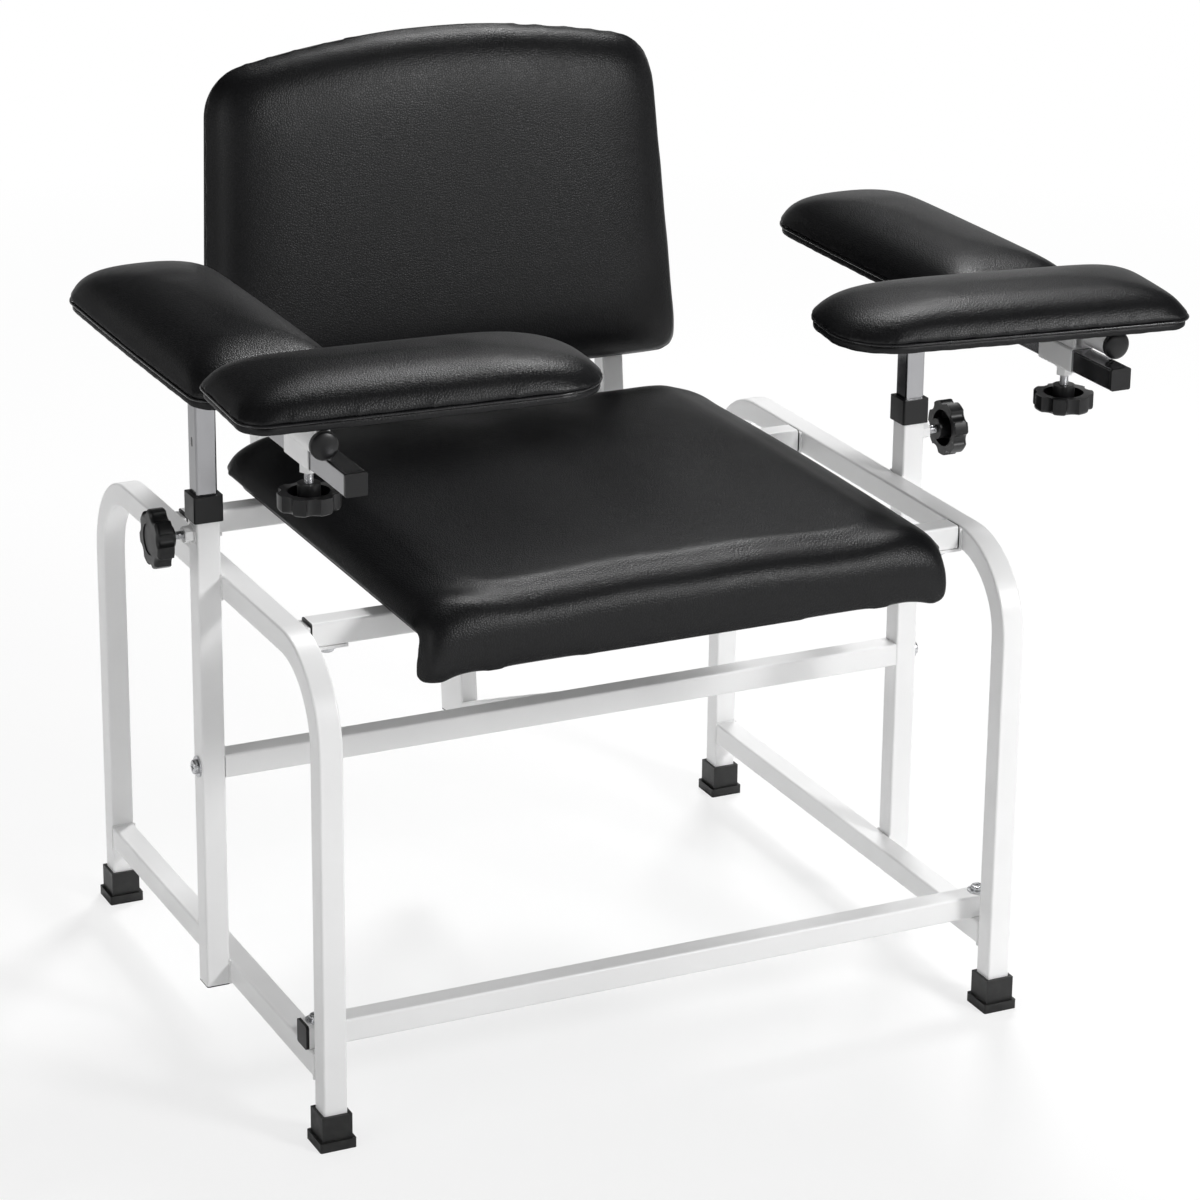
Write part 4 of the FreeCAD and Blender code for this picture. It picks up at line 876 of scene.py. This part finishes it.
def threads(side, sign, tree):
    low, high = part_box(side + "_height_stud")
    place = Matrix.Translation((NUT_FACE * sign, (low.y + high.y) / 2, (low.z + high.z) / 2))
    stud_thread(side, "height", tree, place @ Matrix.Rotation(math.pi / 2 * sign, 4, "Y"))
    low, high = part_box(side + "_clamp_stud")
    place = Matrix.Translation(((low.x + high.x) / 2, (low.y + high.y) / 2, low.z))
    stud_thread(side, "clamp", tree, place)


def dome(name, x, y, z, radius, tall, facing, body):
    """A shallow round cap on the end of the hinge."""
    shell = bmesh.new()
    rings, sides = DOME_RINGS, DOME_SIDES
    rows = []
    for ring in range(rings):
        angle = math.pi / 2 * ring / rings
        r, h = radius * math.cos(angle), tall * math.sin(angle)
        rows.append([shell.verts.new((x + r * math.cos(2 * math.pi * i / sides), y + h * facing,
                                      z + r * math.sin(2 * math.pi * i / sides)))
                     for i in range(sides)])
    tip = shell.verts.new((x, y + tall * facing, z))
    for low, high in zip(rows, rows[1:]):
        for i in range(sides):
            shell.faces.new((low[i], low[(i + 1) % sides], high[(i + 1) % sides], high[i]))
    for i in range(sides):
        shell.faces.new((rows[-1][i], rows[-1][(i + 1) % sides], tip))
    shell.faces.new(rows[0])
    bmesh.ops.recalc_face_normals(shell, faces=shell.faces)
    mesh = bpy.data.meshes.new(name)
    shell.to_mesh(mesh)
    shell.free()
    smooth_shaded(mesh)
    piece = new_piece(name, mesh, PLASTIC)
    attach(piece, body)


def hinge_domes(side):
    low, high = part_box(side + "_hinge_pin")
    middle = (low + high) / 2
    radius = (high.x - low.x) / 2
    for end, y, facing in (("front", low.y, -1), ("rear", high.y, 1)):
        dome("%s_%s_hinge_dome" % (side, end), middle.x, y, middle.z, radius - DOME_INSET,
             DOME_TALL, facing, side + "_flap")


def slotted_stop(side, sign):
    """Black slotted stop in the outer face of an arm tube."""
    low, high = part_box(side + "_arm_tube")
    face = high.x if sign > 0 else low.x
    y, z = (low.y + high.y) / 2, STOP_HEIGHT
    outline = []
    for end, start in ((1, 0.0), (-1, math.pi)):
        for step in range(STOP_STEPS + 1):
            angle = start + math.pi * step / STOP_STEPS
            outline.append((STOP_RADIUS * math.cos(angle),
                            STOP_RADIUS * math.sin(angle) + end * STOP_HALF))
    shell = bmesh.new()
    under = [shell.verts.new((face, y + a, z + b)) for a, b in outline]
    across, along = STOP_TAPER
    over = [shell.verts.new((face + STOP_STAND * sign, y + a * across, z + b * along))
            for a, b in outline]
    count = len(outline)
    for i in range(count):
        j = (i + 1) % count
        shell.faces.new((under[i], under[j], over[j], over[i]))
    shell.faces.new(under)
    shell.faces.new(over)
    bmesh.ops.recalc_face_normals(shell, faces=shell.faces)
    mesh = bpy.data.meshes.new("button")
    shell.to_mesh(mesh)
    shell.free()
    piece = new_piece(side + "_arm_button", mesh, PLASTIC)
    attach(piece, side + "_arm")


# Floor, light and camera
# Strength of the room's white overhead, and of its light on dull surfaces.
CEILING = 0.08
FILL = 0.38
# Share of plain white in the floor beside the chair.
NEAR_WHITE = 0.72
# The floor's size, and between which distances from its middle it turns white.
FLOOR_RADIUS = 30
FLOOR_SIDES = 96
FLOOR_FADE = (0.8, 3.5)
# Between which heights of its direction the room turns from white to the ceiling.
ROOM_FADE = (0.02, 0.24)


def pale_floor():
    """A floor that keeps the chair's shadow and is white far off."""
    floor_mesh = bpy.data.meshes.new("floor")
    shell = bmesh.new()
    bmesh.ops.create_circle(shell, cap_ends=True, radius=FLOOR_RADIUS, segments=FLOOR_SIDES)
    shell.to_mesh(floor_mesh)
    shell.free()
    floor, tree, shader = new_material("pale_floor", Roughness=0.9,
                                       Base_Color=(0.93, 0.93, 0.93, 1))
    path = add(tree, "ShaderNodeLightPath").outputs["Is Camera Ray"]
    glow = add(tree, "ShaderNodeEmission", {"Color": (1, 1, 1, 1), "Strength": 1.0})
    from_middle = add(tree, "ShaderNodeVectorMath", {0: object_place(tree)}, operation="LENGTH")
    white = spread(tree, from_middle.outputs["Value"], *FLOOR_FADE, NEAR_WHITE, 1.0)
    share = math_node(tree, "MULTIPLY", path, white)
    mix = add(tree, "ShaderNodeMixShader", {
        0: share, 1: shader.outputs["BSDF"], 2: glow.outputs["Emission"]})
    tree.links.new(mix.outputs["Shader"], tree.nodes["Material Output"].inputs["Surface"])
    new_piece("floor", floor_mesh, floor)


def room():
    """White round the object and dim overhead, as under a dark studio ceiling."""
    world = bpy.data.worlds.new("studio")
    world.use_nodes = True
    scene.world = world
    tree = world.node_tree
    sky = tree.nodes["Background"]
    path = add(tree, "ShaderNodeLightPath")
    mirrored = math_node(tree, "MAXIMUM", path.outputs["Is Glossy Ray"],
                         path.outputs["Is Transmission Ray"])
    ray = add(tree, "ShaderNodeTexCoord").outputs["Generated"]
    height = add(tree, "ShaderNodeSeparateXYZ", {"Vector": ray}).outputs["Z"]
    seen = spread(tree, height, *ROOM_FADE, 1.0, CEILING)
    plain = spread(tree, path.outputs["Is Camera Ray"], 0.0, 1.0, FILL, 1.0)
    strength = add(tree, "ShaderNodeMix", {0: mirrored, 2: plain, 3: seen})
    tree.links.new(strength.outputs[0], sky.inputs["Strength"])
    sky.inputs["Color"].default_value = (1, 1, 1, 1)


# Soft lamps: name, place, width, watts.
LAMPS = (
    ("front_right", (1.7, -3.0, 2.2), 0.7, 70),
    ("overhead", (1.4, 1.8, 3.2), 0.7, 84),
    ("left", (-3.0, -0.8, 1.6), 1.0, 10),
)
LAMP_TARGET = Vector((0, 0, 0.6))


def lamps():
    for name, place, width, watts in LAMPS:
        light = bpy.data.lights.new(name, "AREA")
        light.shape = "SQUARE"
        light.size = width
        light.energy = watts
        lamp = bpy.data.objects.new(name, light)
        lamp.location = place
        lamp.rotation_euler = (LAMP_TARGET - Vector(place)).to_track_quat("-Z", "Y").to_euler()
        scene.collection.objects.link(lamp)


def camera():
    azimuth, elevation, roll = (
        math.radians(a) for a in (CAMERA_AZIMUTH, CAMERA_ELEVATION, CAMERA_ROLL))
    away = Vector((math.sin(azimuth) * math.cos(elevation),
                   -math.cos(azimuth) * math.cos(elevation), math.sin(elevation)))
    level = (-away).cross(Vector((0, 0, 1))).normalized()
    rise = level.cross(-away)
    right = level * math.cos(roll) + rise * math.sin(roll)
    up = rise * math.cos(roll) - level * math.sin(roll)
    data = bpy.data.cameras.new("camera")
    data.sensor_width = CAMERA_SENSOR
    data.lens = CAMERA_LENS
    data.shift_y = CAMERA_SHIFT
    view = bpy.data.objects.new("camera", data)
    scene.collection.objects.link(view)
    turn = Matrix((right, up, away)).transposed().to_4x4()
    view.matrix_world = Matrix.Translation(Vector(CAMERA_PLACE)) @ turn
    scene.camera = view


scene.view_settings.view_transform = "Standard"
dress_cad_nodes()
pale_floor()
room()
lamps()
camera()
seat_cushion()
back_cushion()
welding = bead_tree(WHITE)
cording = cord_tree(WELT)
stapling = staple_tree(ZINC)
threading = thread_tree(ZINC)
frame_welds(welding)
for name, sign in SIDES:
    sleeve_welds(name, welding)
    threads(name, sign, threading)
    hinge_domes(name)
    slotted_stop(name, sign)
    for pad, body in ((name + "_front_pad", name + "_flap"), (name + "_rear_pad", name + "_arm")):
        arm_pad(pad, body)
        welt(pad, body, cording)
        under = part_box(pad + "_board")[0].z
        turned_cover(pad + "_board", Plane((0, 0, under), (1, 0, 0), (0, -1, 0)), PAD_BOARD,
                     body, stapling)
lean = math.radians(BACK_LEAN)
rear = corners_of(frame["nodes"]["back_board"].data)
rear_way = np.array([0, math.cos(lean), -math.sin(lean)])
rear_point = rear[np.argmax(rear @ rear_way)]
turned_cover("back_board", Plane(rear_point, (-1, 0, 0), (0, math.sin(lean), math.cos(lean))),
             BACK_BOARD, "frame", stapling)

bpy.context.view_layer.update()
